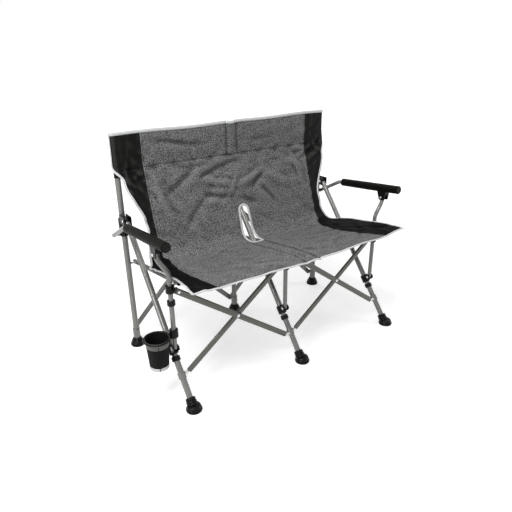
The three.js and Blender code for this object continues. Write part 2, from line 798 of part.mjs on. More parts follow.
// Cross tubes of each bay: one falls to the right, the other rises to the right
const bays = { left: ['left', 'centre'], right: ['centre', 'right'] };
for (const [name, [near, far]] of Object.entries(bays)) {
  const nearX = frameX(near) + crossSideOffset;
  const farX = frameX(far) - crossSideOffset;
  const rearward = point(0, 1, 0);
  const falling = [
    point(farX, rearLayerY(1), rearCrossLow), point(nearX, rearLayerY(1), rearCrossHigh)];
  const rising = [
    point(nearX, rearLayerY(2), rearCrossLow), point(farX, rearLayerY(2), rearCrossHigh)];
  piece(`${name}_rear_falling_tube`, 'steel', crossTube(...falling, rearward, crossWidth / 2, []));
  piece(`${name}_rear_rising_tube`, 'steel', crossTube(...rising, rearward, crossWidth / 2, rising));
  piece(`${name}_rear_cross_rivet`, 'zinc', crossRivet(...rising, rearward));

  const legPlace = onLeg(legLength - legBracketFromFoot);
  const bracketAt = (x, layer) => point(x, legPlace.y - frontLayer(layer), legPlace.z);
  const clampAt = (x, layer) => point(x, -postReach - seatLayer(layer), seatCrossHeight);
  const frontFalling = [bracketAt(frameX(far) - crossFootOffset, 2), clampAt(nearX, 2)];
  const frontRising = [bracketAt(frameX(near) + crossFootOffset, 1), clampAt(farX, 1)];
  // The faces lie in the plane that holds the tube and the width
  const facing = ([low, high]) =>
    high.clone().sub(low).setX(0).cross(point(1, 0, 0)).normalize().negate();
  piece(`${name}_front_falling_tube`, 'steel', crossTube(
    ...frontFalling, facing(frontFalling), -ballRadius - bearingGap, frontFalling.slice(1)));
  piece(`${name}_front_rising_tube`, 'steel', crossTube(
    ...frontRising, facing(frontRising), -ballRadius - bearingGap, []));
  piece(`${name}_front_cross_rivet`, 'zinc', crossRivet(...frontFalling, facing(frontFalling)));
}

// Cup holder
const holder = new THREE.Group();
holder.position.x = frameX('left');
chair.add(holder);
piece('cup_holder_ring', 'plastic', cupRing(), holder);
piece('cup_holder_cup', 'cupFabric', cup(), holder);

// Fabric
piece('back_fabric', 'fabric', cut(sheet(backSurface, sheetAcross, sheetDown), slotCutter()));
piece('seat_fabric', 'fabric', cut(sheet(seatSurface, sheetAcross, sheetDown), seatSlotCutter()));

export default chair;
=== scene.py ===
# %% [markdown]
# # A folding camping seat for two
# The packed model gives every tube, clamp and foot its place. This lesson dresses it:
# round tubes in place of faceted ones, cloth with folds and sewn edges, and a finish for
# each material. The frame comes first, because every piece is made where the frame says.

# %% Load the frame
import math

import bmesh
import bpy
import numpy as np
from mathutils import Matrix, Vector


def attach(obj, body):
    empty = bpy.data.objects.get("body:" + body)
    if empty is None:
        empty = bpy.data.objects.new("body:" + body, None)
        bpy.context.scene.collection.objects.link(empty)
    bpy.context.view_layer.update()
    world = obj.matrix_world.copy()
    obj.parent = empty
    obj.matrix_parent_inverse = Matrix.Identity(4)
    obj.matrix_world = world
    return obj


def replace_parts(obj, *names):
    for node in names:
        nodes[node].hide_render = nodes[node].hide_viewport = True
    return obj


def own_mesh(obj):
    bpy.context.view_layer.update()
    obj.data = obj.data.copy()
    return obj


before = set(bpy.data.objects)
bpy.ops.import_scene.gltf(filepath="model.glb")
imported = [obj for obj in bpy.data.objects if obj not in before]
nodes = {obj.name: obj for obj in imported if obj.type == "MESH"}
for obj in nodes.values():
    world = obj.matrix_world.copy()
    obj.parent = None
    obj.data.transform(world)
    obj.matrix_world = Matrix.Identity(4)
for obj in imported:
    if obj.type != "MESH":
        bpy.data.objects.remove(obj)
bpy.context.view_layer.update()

# %% [markdown]
# ## Sizes
# The sizes are written in millimetres, as a maker would say them, and every mesh is
# turned into metres in one place. Left and right are as seen in the photograph.

# %% Sizes of the folding frame
BAY = 490.0
SIDES = {"left": -1, "centre": 0, "right": 1}
FRAME_TUBE, POST_TUBE, RAIL_TUBE, ARM_TUBE, WALL = 11.0, 8.5, 9.0, 8.5, 1.2
CLAMP_WALL, SEAT_CLAMP_WALL, GAP = 6.0, 7.0, 0.3
UPRIGHT_FOOT, UPRIGHT_TOP = 14.3, 866.0
LEG_TOP, LEG_FOOT = np.array([0.0, -42.0, 566.0]), np.array([0.0, -503.0, 0.0])
LEG_LENGTH = float(np.linalg.norm(LEG_FOOT - LEG_TOP))
LEG_ALONG = (LEG_FOOT - LEG_TOP) / LEG_LENGTH
LEG_SHORT, BRACKET_UP = 22.3, 125.0
POST_Y, POST_HEAD, POST_PAST, ARM_OUTSET = -386.0, 564.0, 13.3, 36.5
POST_FOOT = np.array([0.0, POST_Y, 190.0])
ARM_PIVOT = np.array([0.0, 0.0, 506.0])
PAD_REAR, PAD_FRONT = np.array([0.0, -145.0, 575.0]), np.array([0.0, -468.0, 609.0])
PAD_RADIUS, PAD_END = 17.0, 6.3
RAIL_REAR, RAIL_FRONT = np.array([0.0, -3.0, 376.0]), np.array([0.0, POST_Y, 438.0])
RAIL_INSET = 31.5
CROSS_WIDTH, CROSS_THICKNESS, LAYER_GAP = 22.0, 11.0, 2.2
REAR_LOW, REAR_HIGH, SEAT_CROSS = 66.0, 530.0, 424.0
PIVOT_OUT, LOW_PIVOT_OUT = 14.0, 27.0
print("front leg length:", round(LEG_LENGTH, 1), "mm")

# %% [markdown]
# ## Meshes from arrays
# Almost every piece is a grid of points: a section carried along a path, or a surface
# with two parameters. Working out the whole grid as one numpy array keeps the code short
# and the shapes exact, and one helper turns any grid into a mesh.

# %% Grids and sweeps
UP, ACROSS, BACK = np.array([0.0, 0.0, 1.0]), np.array([1.0, 0.0, 0.0]), np.array([0.0, 1.0, 0.0])
LIP, BORE_SHOWN = 0.35, 14.0


def unit(vectors):
    """Each vector divided by its own length."""
    return vectors / np.linalg.norm(vectors, axis=-1, keepdims=True)


def grid_quads(rows, columns, wrap=False):
    """Quads between neighbours of a rows x columns grid; wrap joins the last column to the first."""
    index = np.arange(rows * columns).reshape(rows, columns)
    right = np.roll(index, -1, axis=1)
    quads = np.stack([index[:-1], right[:-1], right[1:], index[1:]], axis=-1)
    return (quads if wrap else quads[:, :-1]).reshape(-1, 4)


def capped(rows, columns):
    """The quads of a pipe made of rings, with one more face over each end."""
    last = (rows - 1) * columns
    ends = [list(range(columns))[::-1], [last + i for i in range(columns)]]
    return grid_quads(rows, columns, wrap=True).tolist() + ends


def mesh_object(name, points, faces, smooth_angle=35.0, closed=True):
    """Points in millimetres become an object in metres at the origin, its shading smooth below an angle.
    A closed piece has its faces turned outwards."""
    name = name.replace(" ", "-")
    mesh = bpy.data.meshes.new(name)
    mesh.from_pydata((np.asarray(points).reshape(-1, 3) / 1000.0).tolist(), [], [list(map(int, f)) for f in faces])
    mesh.validate()
    if closed:
        work = bmesh.new()
        work.from_mesh(mesh)
        bmesh.ops.remove_doubles(work, verts=work.verts, dist=1e-7)
        bmesh.ops.recalc_face_normals(work, faces=work.faces)
        work.to_mesh(mesh)
        work.free()
    return shown(name, mesh, smooth_angle)


def in_scene(name, data):
    """A new object of the data, linked to the scene."""
    thing = bpy.data.objects.new(name, data)
    bpy.context.scene.collection.objects.link(thing)
    return thing


def shown(name, mesh, smooth_angle):
    """The mesh as an object, its shading smooth where faces meet below the angle in degrees."""
    mesh.polygons.foreach_set("use_smooth", np.ones(len(mesh.polygons), bool))
    mesh.update()
    mesh.set_sharp_from_angle(angle=math.radians(smooth_angle))
    return in_scene(name, mesh)


def circle(radius, sides=32):
    """Points (r cos t, r sin t) for t in equal steps round the circle."""
    turn = np.linspace(0, 2 * np.pi, sides, endpoint=False)
    return np.stack([radius * np.cos(turn), radius * np.sin(turn)], axis=1)


def oval(width, thickness, sides=32):
    """A flat oval: the circle of the thickness, its halves moved apart until the width is reached."""
    outline = circle(thickness / 2, sides)
    outline[:, 0] += np.sign(np.round(outline[:, 0], 9)) * (width - thickness) / 2
    return outline


def side_of(run):
    """A steady side direction for a run: across the seat, unless the run goes that way itself."""
    return UP if abs(run[0]) > 0.7 else ACROSS


def frames(tangent, side):
    """For each tangent: a unit vector as near to its side as the tangent lets it be, and the third direction."""
    side = np.broadcast_to(side, tangent.shape)
    first = unit(side - tangent * (tangent * side).sum(axis=1, keepdims=True))
    return first, np.cross(tangent, first)


def carried(path, rings, tangent, side):
    """Ring i is path[i] + s * first[i] + t * third[i] for each point (s, t) of its outline."""
    first, third = frames(tangent, side)
    return path[:, None] + rings[..., :1] * first[:, None] + rings[..., 1:] * third[:, None]


def sweep(name, path, outline, side, smooth_angle):
    """One outline carried along a path, closed at both ends."""
    points = carried(path, outline, unit(np.gradient(path, axis=0)), side)
    return mesh_object(name, points, capped(len(path), len(outline)), smooth_angle)


def tube(name, path, radius, open_ends=True, section=None, side=None):
    """A tube along a path. At an open end the outline turns in over the wall and runs back inside for a short depth."""
    path = np.asarray(path, float)
    section = section or (lambda shrink: circle(radius - shrink))
    start, end = unit(path[1] - path[0]), unit(path[-1] - path[-2])
    mouth = [section(shrink) for shrink in (WALL, WALL, WALL - LIP, LIP, 0.0)]
    depths = (BORE_SHOWN, LIP, 0.0, 0.0, LIP)
    if not open_ends:
        mouth, depths = mouth[3:], depths[3:]
    head, tail = [path[0] + start * depth for depth in depths], [path[-1] - end * depth for depth in depths[::-1]]
    places = np.array(head + list(path[1:-1]) + tail)
    rings = np.array(mouth + [section(0.0)] * (len(path) - 2) + mouth[::-1])
    bends = unit(np.gradient(path, axis=0))[1:-1]
    along = np.vstack([np.tile(start, (len(head), 1)), bends, np.tile(end, (len(tail), 1))])
    side = side_of(unit(path[-1] - path[0])) if side is None else side
    return mesh_object(name, carried(places, rings, along, side), capped(len(places), rings.shape[1]))


def turned(name, profile, centre, axis, sides=40, joined=False):
    """A turned piece: the profile (radius, height) spun about the axis through the centre.
    A disc closes each end, or, where joined, the last circle meets the first and makes a ring."""
    profile, axis = np.asarray(profile, float), unit(np.asarray(axis, float))
    ring = carried(np.zeros((1, 3)), circle(1.0, sides), axis[None], side_of(axis))
    points = centre + profile[:, 1, None, None] * axis + profile[:, 0, None, None] * ring
    if joined:
        return mesh_object(name, np.vstack([points, points[:1]]), grid_quads(len(profile) + 1, sides, wrap=True))
    return mesh_object(name, points, capped(len(profile), sides))


print("a 32-sided ring has", len(circle(1.0)), "points")

# %% [markdown]
# ## Shader maths as arithmetic
# A pattern is a sum of simple ones: noise plus weave, minus wear. One small class wraps a
# shader socket, so the sum is written as Python arithmetic and the Math nodes appear by
# themselves. Numbers that are the same all over a surface are set on the shader directly.

# %% A socket that can be added and multiplied
class Field:
    """A socket of a material that Python operators turn into Math nodes."""

    def __init__(self, finish, socket):
        self.finish, self.socket = finish, socket

    def maths(self, operation, *others):
        return self.finish.node("ShaderNodeMath", {"operation": operation}, dict(enumerate((self, *others))))

    def __add__(self, other): return self.maths("ADD", other)
    def __radd__(self, other): return self.maths("ADD", other)
    def __sub__(self, other): return self.maths("SUBTRACT", other)
    def __mul__(self, other): return self.maths("MULTIPLY", other)
    def __truediv__(self, other): return self.maths("DIVIDE", other)


class Finish:
    """A material: it holds the node tree and makes nodes from a type, settings and socket values."""

    def __init__(self, name):
        self.material = bpy.data.materials.new(name)
        self.material.use_nodes = True
        self.tree = self.material.node_tree
        self.tree.nodes.clear()
        self.out = self.tree.nodes.new("ShaderNodeOutputMaterial")
        self.shader = self.tree.nodes.new("ShaderNodeBsdfPrincipled")
        self.tree.links.new(self.shader.outputs[0], self.out.inputs["Surface"])

    def feed(self, socket, value):
        """A field is linked to the socket; a number or a colour is set on it."""
        if isinstance(value, Field):
            self.tree.links.new(value.socket, socket)
        elif hasattr(value, "__len__") and len(value) == 3 and socket.type == "RGBA":
            socket.default_value = (*value, 1.0)
        else:
            socket.default_value = value

    def node(self, kind, settings=None, inputs=None, output=0):
        """A new node with its settings made and its inputs fed; what comes back is one of its outputs."""
        made = self.tree.nodes.new(kind)
        for key, value in (settings or {}).items():
            setattr(made, key, value)
        for key, value in (inputs or {}).items():
            self.feed(made.inputs[key], value)
        return Field(self, made.outputs[output])

    def look(self, colour, roughness, **constants):
        """The shader's colour and roughness, and the values that are the same all over."""
        for key, value in {"Base Color": colour, "Roughness": roughness, **constants}.items():
            self.feed(self.shader.inputs[key.replace("_", " ")], value)

    def place(self):
        return self.node("ShaderNodeTexCoord", output="Object")

    def cloth_place(self):
        return self.node("ShaderNodeUVMap", {"uv_map": "Cloth"})

    def attribute(self, name):
        return self.node("ShaderNodeAttribute", {"attribute_name": name}, output="Fac")

    def stretched(self, place, scale):
        return self.node("ShaderNodeMapping", inputs={"Vector": place, "Scale": scale})

    def noise(self, place, scale, detail, roughness=0.55):
        return self.node("ShaderNodeTexNoise", inputs={
            "Vector": place, "Scale": scale, "Detail": detail, "Roughness": roughness})

    def cells(self, place, scale):
        return self.node("ShaderNodeTexVoronoi", inputs={"Vector": place, "Scale": scale})

    def between(self, share, low, high):
        return self.node("ShaderNodeMix", {"data_type": "RGBA"}, {"Factor": share, 6: low, 7: high}, output=2)

    def steps(self, value, low, high):
        """0 below low, 1 above high, a straight slope between them."""
        return self.node("ShaderNodeMapRange", inputs={"Value": value, "From Min": low, "From Max": high})

    def bump(self, height, distance, strength):
        normal = self.node("ShaderNodeBump", inputs={"Height": height, "Distance": distance, "Strength": strength})
        self.feed(self.shader.inputs["Normal"], normal)


print("a field knows", sum(name.startswith("__") for name in Field.__dict__), "special methods")

# %% [markdown]
# ## Metal and plastic finishes
# The tubes are powder coated: a grey film with a faint orange-peel skin and some metal in
# it. The clamps are moulded nylon with a fine grain and dull scuffs, the brackets are
# zinc plated, and the arm foam has closed cells about a millimetre across.

# %% Finishes of the frame
def powder_coat(name, dark, light, metal, rough):
    """Cloudy tone plus sub-millimetre peel, with paler rubbed streaks along the tubes; roughness follows the clouds."""
    finish = Finish(name)
    place = finish.place()
    cloud = finish.noise(place, 11.0, 4.0)
    peel = finish.noise(place, 1500.0, 2.0)
    lightened = finish.steps(finish.noise(finish.stretched(place, (1.0, 1.0, 0.25)), 90.0, 5.0), 0.56, 0.72)
    tone = finish.between(lightened * 0.35, finish.between(cloud * 0.7 + peel * 0.3, dark, light), light)
    finish.look(tone, rough + cloud * 0.12 - lightened * 0.05, Metallic=metal, Specular_IOR_Level=0.7)
    finish.bump(peel, 0.00012, 0.35)
    return finish.material


def zinc_plate():
    """Bright plate with small crystal spangles and rubbed, duller patches."""
    finish = Finish("zinc plate")
    place = finish.place()
    spangle = finish.cells(place, 420.0)
    dull = finish.noise(place, 60.0, 4.0)
    tone = finish.between(spangle * 0.5 + dull * 0.4, (0.5, 0.51, 0.52), (0.8, 0.81, 0.82))
    finish.look(tone, 0.2 + dull * 0.22, Metallic=0.95)
    finish.bump(spangle, 0.00008, 0.3)
    return finish.material


def moulded_nylon():
    """Near-black plastic: fine grain in the mould, paler scuffs where the noise peaks."""
    finish = Finish("moulded nylon")
    place = finish.place()
    grain = finish.noise(place, 1100.0, 3.0)
    scuff = finish.steps(finish.noise(place, 130.0, 6.0), 0.55, 0.75)
    tone = finish.between(scuff * 0.5 + grain * 0.15, (0.004, 0.004, 0.004), (0.018, 0.018, 0.017))
    finish.look(tone, 0.2 + grain * 0.1 + scuff * 0.16, Specular_IOR_Level=0.14)
    finish.bump(grain, 0.00025, 0.4)
    return finish.material


def closed_foam():
    """Soft black foam: round cells dent the skin, and the tone drifts slowly along it."""
    finish = Finish("closed-cell foam")
    place = finish.place()
    cell = finish.cells(place, 620.0)
    drift = finish.noise(place, 35.0, 4.0)
    tone = finish.between(drift * 0.7 + cell * 0.3, (0.003, 0.003, 0.0025), (0.01, 0.0105, 0.0085))
    finish.look(tone, 0.34 + drift * 0.16, Specular_IOR_Level=0.03)
    finish.bump(cell + drift, 0.0006, 0.5)
    return finish.material


steel = powder_coat("silver-grey powder coat", (0.1, 0.099, 0.094), (0.24, 0.237, 0.227), 0.3, 0.13)
# a darker, olive-tinted copy of the silver-grey coat: painted shade for the front cross tubes, which lie under the seat
shade_painted_steel = powder_coat("grey powder coat with painted shade", (0.055, 0.054, 0.044), (0.125, 0.123, 0.103), 0.25, 0.15)
dark_steel = powder_coat("dark rail coat", (0.04, 0.037, 0.032), (0.08, 0.075, 0.066), 0.2, 0.24)
zinc, nylon, foam = zinc_plate(), moulded_nylon(), closed_foam()
print("frame finishes:", [m.name for m in (steel, shade_painted_steel, dark_steel, zinc, nylon, foam)])

# %% [markdown]
# ## Cloth finishes
# The middle of the seat is a grey melange: light and dark fibres lie beside each other, so
# from a step away it looks mottled. The cloth has its own UV map in metres, so its threads
# stay the same size wherever the sheet bends. Near a sewn edge runs a row of stitches,
# drawn from two attributes: the distance to the seam and the distance along it.

# %% Finishes of the cloth
def woven(finish, place, pitch):
    """Over-and-under threads: the product of two sine waves, one along each way of the cloth."""
    parts = finish.tree.nodes.new("ShaderNodeSeparateXYZ")
    finish.feed(parts.inputs[0], place)
    weft, warp = [(Field(finish, parts.outputs[way]) * (2 * math.pi / pitch)).maths("SINE") for way in (0, 1)]
    return weft * warp


def stitches(finish, length=0.0045, away=0.006, width=0.0007):
    """1 on each stitch: close to the sewing line and within the first two thirds of each step along it."""
    near = finish.steps((finish.attribute("seam") - away).maths("ABSOLUTE"), width, width * 0.5)
    return near * (finish.attribute("run") / length).maths("FRACT").maths("LESS_THAN", 0.66)


def creased(finish, tone, depth, painted_light, rise):
    """The hollow attribute is 1 in a crease and -1 on a ridge: painted shade darkens a crease towards black, and a
    painted highlight makes a ridge paler.
    """
    hollow = finish.attribute("hollow")
    # painted highlight: the tone on a ridge is mixed towards the lighter colour
    lightened = finish.between(hollow * -rise, tone, painted_light)
    # painted shade: the tone in a crease is mixed towards near black
    return finish.between(hollow * depth, lightened, (0.001, 0.001, 0.001))


def grey_melange():
    """Light and dark flecks of about 4 mm, in clumps of about 9, over finer fibres and a woven ground.
    Creases are darker by painted shade and ridges a little paler by a painted highlight; the stitches of the sewing
    line are dark."""
    finish = Finish("grey melange cloth")
    place = finish.cloth_place()
    weft = finish.noise(finish.stretched(place, (0.3, 1.0, 1.0)), 900.0, 3.0, 0.6)
    warp = finish.noise(finish.stretched(place, (1.0, 0.3, 1.0)), 900.0, 3.0, 0.6)
    clumps = finish.noise(place, 110.0, 3.0, 0.7)
    flecks = finish.noise(finish.stretched(place, (0.8, 1.0, 1.0)), 255.0, 3.0, 0.7)
    cloud = finish.noise(place, 24.0, 4.0, 0.7)
    fibre = finish.steps(weft * 0.12 + warp * 0.12 + clumps * 0.18 + flecks * 0.58, 0.455, 0.545)
    sewn = stitches(finish)
    tone = finish.between(fibre * 0.85 + cloud * 0.8 - 0.33, (0.017, 0.017, 0.016), (0.29, 0.29, 0.287))
    # painted shade in the creases and a faint painted highlight on the ridges
    tone = creased(finish, tone, 0.55, (0.3, 0.3, 0.295), 0.2)
    finish.look(finish.between(sewn, tone, (0.02, 0.02, 0.02)), 0.85 + fibre * 0.1,
                Specular_IOR_Level=0.2, Sheen_Weight=0.04, Sheen_Roughness=0.5)
    relief = woven(finish, place, 0.0014) * 0.3 + fibre * 0.5 + finish.noise(place, 45.0, 4.0) * 3.0
    finish.bump(relief - sewn * 0.6, 0.0006, 0.6)
    return finish.material


def black_oxford(name, light, painted_light, shine):
    """Smooth close-woven polyester: tiny threads, a soft gloss and slow waves; creases are darker still by painted
    shade, and ridges paler by a painted highlight.
    """
    finish = Finish(name)
    place = finish.cloth_place()
    thread = woven(finish, place, 0.0009)
    cloud = finish.noise(place, 30.0, 4.0)
    sewn = stitches(finish)
    tone = finish.between(cloud * 0.7 + thread * 0.15, (0.003, 0.003, 0.003), light)
    # painted shade in the creases and a painted highlight of the given colour on the ridges
    tone = finish.between(sewn, creased(finish, tone, 0.8, painted_light, 0.6), (0.03, 0.03, 0.03))
    finish.look(tone, 0.5 + cloud * 0.16, Specular_IOR_Level=shine)
    finish.bump(thread * 0.2 + finish.noise(place, 38.0, 4.0) * 2.5 - sewn * 0.6, 0.0009, 0.8)
    return finish.material


def binding_tape():
    """Pale grosgrain tape: close ribs across its run, with faint soiling."""
    finish = Finish("pale binding tape")
    place = finish.place()
    soil = finish.noise(place, 55.0, 4.0)
    ribs = finish.noise(place, 1300.0, 2.0)
    finish.look(finish.between(soil * 0.6 + ribs * 0.3, (0.5, 0.52, 0.53), (0.78, 0.79, 0.79)), 0.5 + ribs * 0.2)
    finish.bump(ribs, 0.0003, 0.5)
    return finish.material


melange, tape = grey_melange(), binding_tape()
# the third colour is the painted highlight on the black cloth's ridges
oxford = black_oxford("black oxford cloth", (0.016, 0.0165, 0.015), (0.05, 0.051, 0.047), 0.08)
# the seat's side panels take a darker copy of the same black cloth, with a darker ridge highlight: painted shade,
# because the seat faces the top lamp
shaded_seat_oxford = black_oxford("worn black oxford cloth", (0.008, 0.0082, 0.0075), (0.016, 0.0162, 0.015), 0.03)
print("cloth finishes:", melange.name, oxford.name, shaded_seat_oxford.name, tape.name)

# %% [markdown]
# ## The round tubes
# The packed model's tubes have flat sides. Each is made again round, along the same path,
# with its wall showing at the open end, and it rides on the same body. The cross tubes are
# flattened ovals, so their section is an oval whose width lies in the plane of the cross.
# Plugs, pins and rivets are turned pieces: one profile each, spun about its axis.

# %% Carrying a piece with the frame
def settle(piece, body, material, slot, *replaced):
    """The piece gets its finish, moves with its body and stands for the nodes it replaces."""
    piece.data.materials.clear()
    piece.data.materials.append(material)
    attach(piece, body)
    if replaced:
        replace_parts(piece, *replaced)
    return piece


def spin(name, profile, centre, axis, body, material, slot, *replaced, **more):
    """A turned piece, settled at once."""
    return settle(turned(name, profile, centre, axis, **more), body, material, slot, *replaced)


def at(side):
    """Where a side frame stands."""
    return np.array([SIDES[side] * BAY, 0.0, 0.0])


def arm_frame(side):
    """Where a side's arm stands, outside its frame."""
    return at(side) + [SIDES[side] * ARM_OUTSET, 0, 0]


def base_of(side):
    """The body that carries a side's upright and rear foot."""
    return "root" if side == "centre" else side + "_side"


def inwards(side):
    """The way from a side frame towards the middle; the middle frame counts as looking right."""
    return 1 if SIDES[side] <= 0 else -1


def smoothstep(value, low, high):
    """3t^2 - 2t^3, where t is the value's share of the way from low to high, kept within 0 and 1."""
    share = np.clip((value - low) / (high - low), 0.0, 1.0)
    return share * share * (3.0 - 2.0 * share)


def post_path(side):
    """Straight up from the slider, then an S across to the arm: its offset is a smoothstep of height.
    The middle post has no arm and ends just above the seat clamp."""
    way = SIDES[side]
    if way == 0:
        return np.array([POST_FOOT, [0, POST_Y, SEAT_CROSS + POST_PAST]])
    top = POST_HEAD - 2 * POST_TUBE
    low = top - 2 * ARM_OUTSET
    height = np.concatenate([[POST_FOOT[2]], np.linspace(low - 8, top + 8, 26), [POST_HEAD]])
    offset = way * ARM_OUTSET * smoothstep(height, low - 4, top + 4)
    return np.stack([offset, np.full_like(height, POST_Y), height], axis=1)


LEG_ENDS = LEG_TOP + np.array([[-FRAME_TUBE], [LEG_LENGTH - LEG_SHORT]]) * LEG_ALONG
RAIL_ALONG = unit(RAIL_FRONT - RAIL_REAR)
RAIL_ENDS = np.array([RAIL_REAR - RAIL_TUBE * RAIL_ALONG, RAIL_FRONT + RAIL_TUBE * RAIL_ALONG])
RAIL_PLUG = [[7.6, -2.0], [9.2, -1.6], [9.5, 0.4], [9.3, 9.0], [8.6, 10.6], [6.0, 11.6], [0.6, 11.8]]
PLUG_SUNK, PIN_RADIUS, PIN_SUNK = 7.0, 5.0, 0.5
for side in SIDES:
    here, way = at(side), inwards(side)
    upright, rail = here + [[0, 0, UPRIGHT_FOOT], [0, 0, UPRIGHT_TOP]], here + [way * RAIL_INSET, 0, 0] + RAIL_ENDS
    for part, path, radius, body, finish, slot, node in (
            ("upright", upright, FRAME_TUBE, base_of(side), steel, "steel", "rear_upright"),
            ("front leg tube", here + LEG_ENDS, FRAME_TUBE, side + "_leg", steel, "steel", "front_leg"),
            ("post tube", here + post_path(side), POST_TUBE, side + "_post", steel, "steel", "front_post"),
            ("seat rail tube", rail, RAIL_TUBE, side + "_rail", dark_steel, "dark_steel", "seat_rail")):
        settle(tube(f"{side} {part}", path, radius), body, finish, slot, f"{side}_{node}")
    spin(side + " rail rear plug", RAIL_PLUG, rail[0] + PLUG_SUNK * RAIL_ALONG, -RAIL_ALONG,
         side + "_rail", nylon, "plastic", sides=32)
    for end, centre, reach in (("rear", RAIL_REAR, FRAME_TUBE), ("front", RAIL_FRONT, POST_TUBE + SEAT_CLAMP_WALL)):
        span = np.array([[way * (reach + GAP), 0, 0], [way * (RAIL_INSET - RAIL_TUBE + PIN_SUNK), 0, 0]])
        pin = tube(f"{side} rail {end} pin", here + centre + span, PIN_RADIUS, open_ends=False)
        settle(pin, side + "_rail", zinc, "zinc")
print("side frames dressed:", len(SIDES))

# %% The crossed tubes
def cross_tube(bay, kind, low, high, facing, past, material):
    """A flat oval tube from low to high, its width square to the way it faces.
    Its lower end goes past low by a number of millimetres, or stops short of it where that is negative."""
    along = unit(high - low)
    ends = np.array([low - along * past, high + along * (CROSS_WIDTH / 2)])
    section = lambda shrink: oval(CROSS_WIDTH - 2 * shrink, CROSS_THICKNESS - 2 * shrink)
    body = f"{bay}_{kind}"
    piece = tube(f"{bay} {kind} tube".replace("_", " "), ends, 0, section=section, side=np.cross(along, facing))
    settle(piece, body, material, "steel", body + "_tube")


def rivet(name, centre, axis, body, radius=5.0, height=1.7):
    """A domed head: it rises evenly from 0.35 of its height while its radius falls as R sqrt(1 - 0.96 t^2)."""
    share = np.linspace(0.0, 1.0, 8)
    dome = np.stack([radius * np.sqrt(1 - share ** 2 * 0.96), 0.35 * height + 0.65 * height * share], axis=1)
    profile = np.vstack([[radius * 0.96, -0.4], [radius, 0.0], dome])
    return spin(name, profile, centre, axis, body, zinc, "zinc", sides=28)


FACE = CROSS_THICKNESS / 2
BEHIND, AHEAD = FRAME_TUBE + CLAMP_WALL + GAP + FACE, POST_TUBE + SEAT_CLAMP_WALL + GAP + FACE
PITCH = CROSS_THICKNESS + LAYER_GAP
BRACKET = LEG_TOP + (LEG_LENGTH - BRACKET_UP) * LEG_ALONG
REAR_PAST, FRONT_PAST = 11.0, -5.4
for bay, near, far in (("left", "left", "centre"), ("right", "centre", "right")):
    near_x, far_x = at(near)[0], at(far)[0]
    for kind, low_x, high_x, layer in (("falling", far_x, near_x, 0), ("rising", near_x, far_x, 1)):
        way = np.sign(high_x - low_x)
        y = BEHIND + layer * PITCH
        low, high = np.array([low_x + way * PIVOT_OUT, y, REAR_LOW]), np.array([high_x - way * PIVOT_OUT, y, REAR_HIGH])
        cross_tube(bay, "rear_" + kind, low, high, BACK, REAR_PAST, steel)
        if kind == "rising":
            middle = (low + high) / 2 + BACK * (FACE + GAP)
            cross = rivet(bay + " rear cross rivet", middle, BACK, bay + "_rear_rising", 6.0)
            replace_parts(cross, bay + "_rear_cross_rivet")
            for label, spot in (("low", low), ("high", high)):
                rivet(f"{bay} rear {label} rivet", spot + BACK * FACE, BACK, bay + "_rear_rising")
    for kind, low_x, high_x, layer in (("falling", far_x, near_x, 1), ("rising", near_x, far_x, 0)):
        way = np.sign(high_x - low_x)
        low = np.array([low_x + way * LOW_PIVOT_OUT, BRACKET[1] - (layer - 0.5) * PITCH, BRACKET[2]])
        high = np.array([high_x - way * PIVOT_OUT, POST_Y - AHEAD - layer * PITCH, SEAT_CROSS])
        facing = unit(np.cross(ACROSS, [0.0, *(high - low)[1:]]))
        facing = facing if facing[1] < 0 else -facing
        # painted shade: the front cross tubes take the darker copy of the coat
        cross_tube(bay, "front_" + kind, low, high, facing, FRONT_PAST, shade_painted_steel)
        if kind == "falling":
            body, middle = bay + "_front_falling", (low + high) / 2 + facing * (FACE + GAP)
            cross = rivet(bay + " front cross rivet", middle, facing, body, 6.0, 2.2)
            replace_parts(cross, bay + "_front_cross_rivet")
            rivet(bay + " front top rivet", high + facing * FACE, facing, body)

# %% [markdown]
# ## Moulded and pressed parts
# Hubs, clamps and brackets already have the right shape in the packed model, but their
# edges are knife sharp. A copy of each mesh is merged, its flat faces are joined again, and
# a small bevel rounds every hard edge, as a mould or a press would.

# %% Rounding a copy of a packed part
def softened(piece, width, segments, degrees=30):
    """A bevel of width millimetres on every edge that turns by more than the angle."""
    edge = piece.modifiers.new("edge", "BEVEL")
    edge.width, edge.segments = width / 1000.0, segments
    edge.limit_method, edge.angle_limit = "ANGLE", math.radians(degrees)
    return piece


def rounded(node, body, material, slot, width=0.7):
    """A copy of the node's mesh, merged and bevelled by width millimetres."""
    work = bmesh.new()
    work.from_mesh(nodes[node].data)
    bmesh.ops.remove_doubles(work, verts=work.verts, dist=2e-6)
    bmesh.ops.dissolve_limit(work, angle_limit=math.radians(1.0), verts=work.verts, edges=work.edges)
    mesh = bpy.data.meshes.new(node + " rounded")
    work.to_mesh(mesh)
    work.free()
    settle(softened(shown(node.replace("_", "-") + "-rounded", mesh, 50), width, 2, 32), body, material, slot, node)


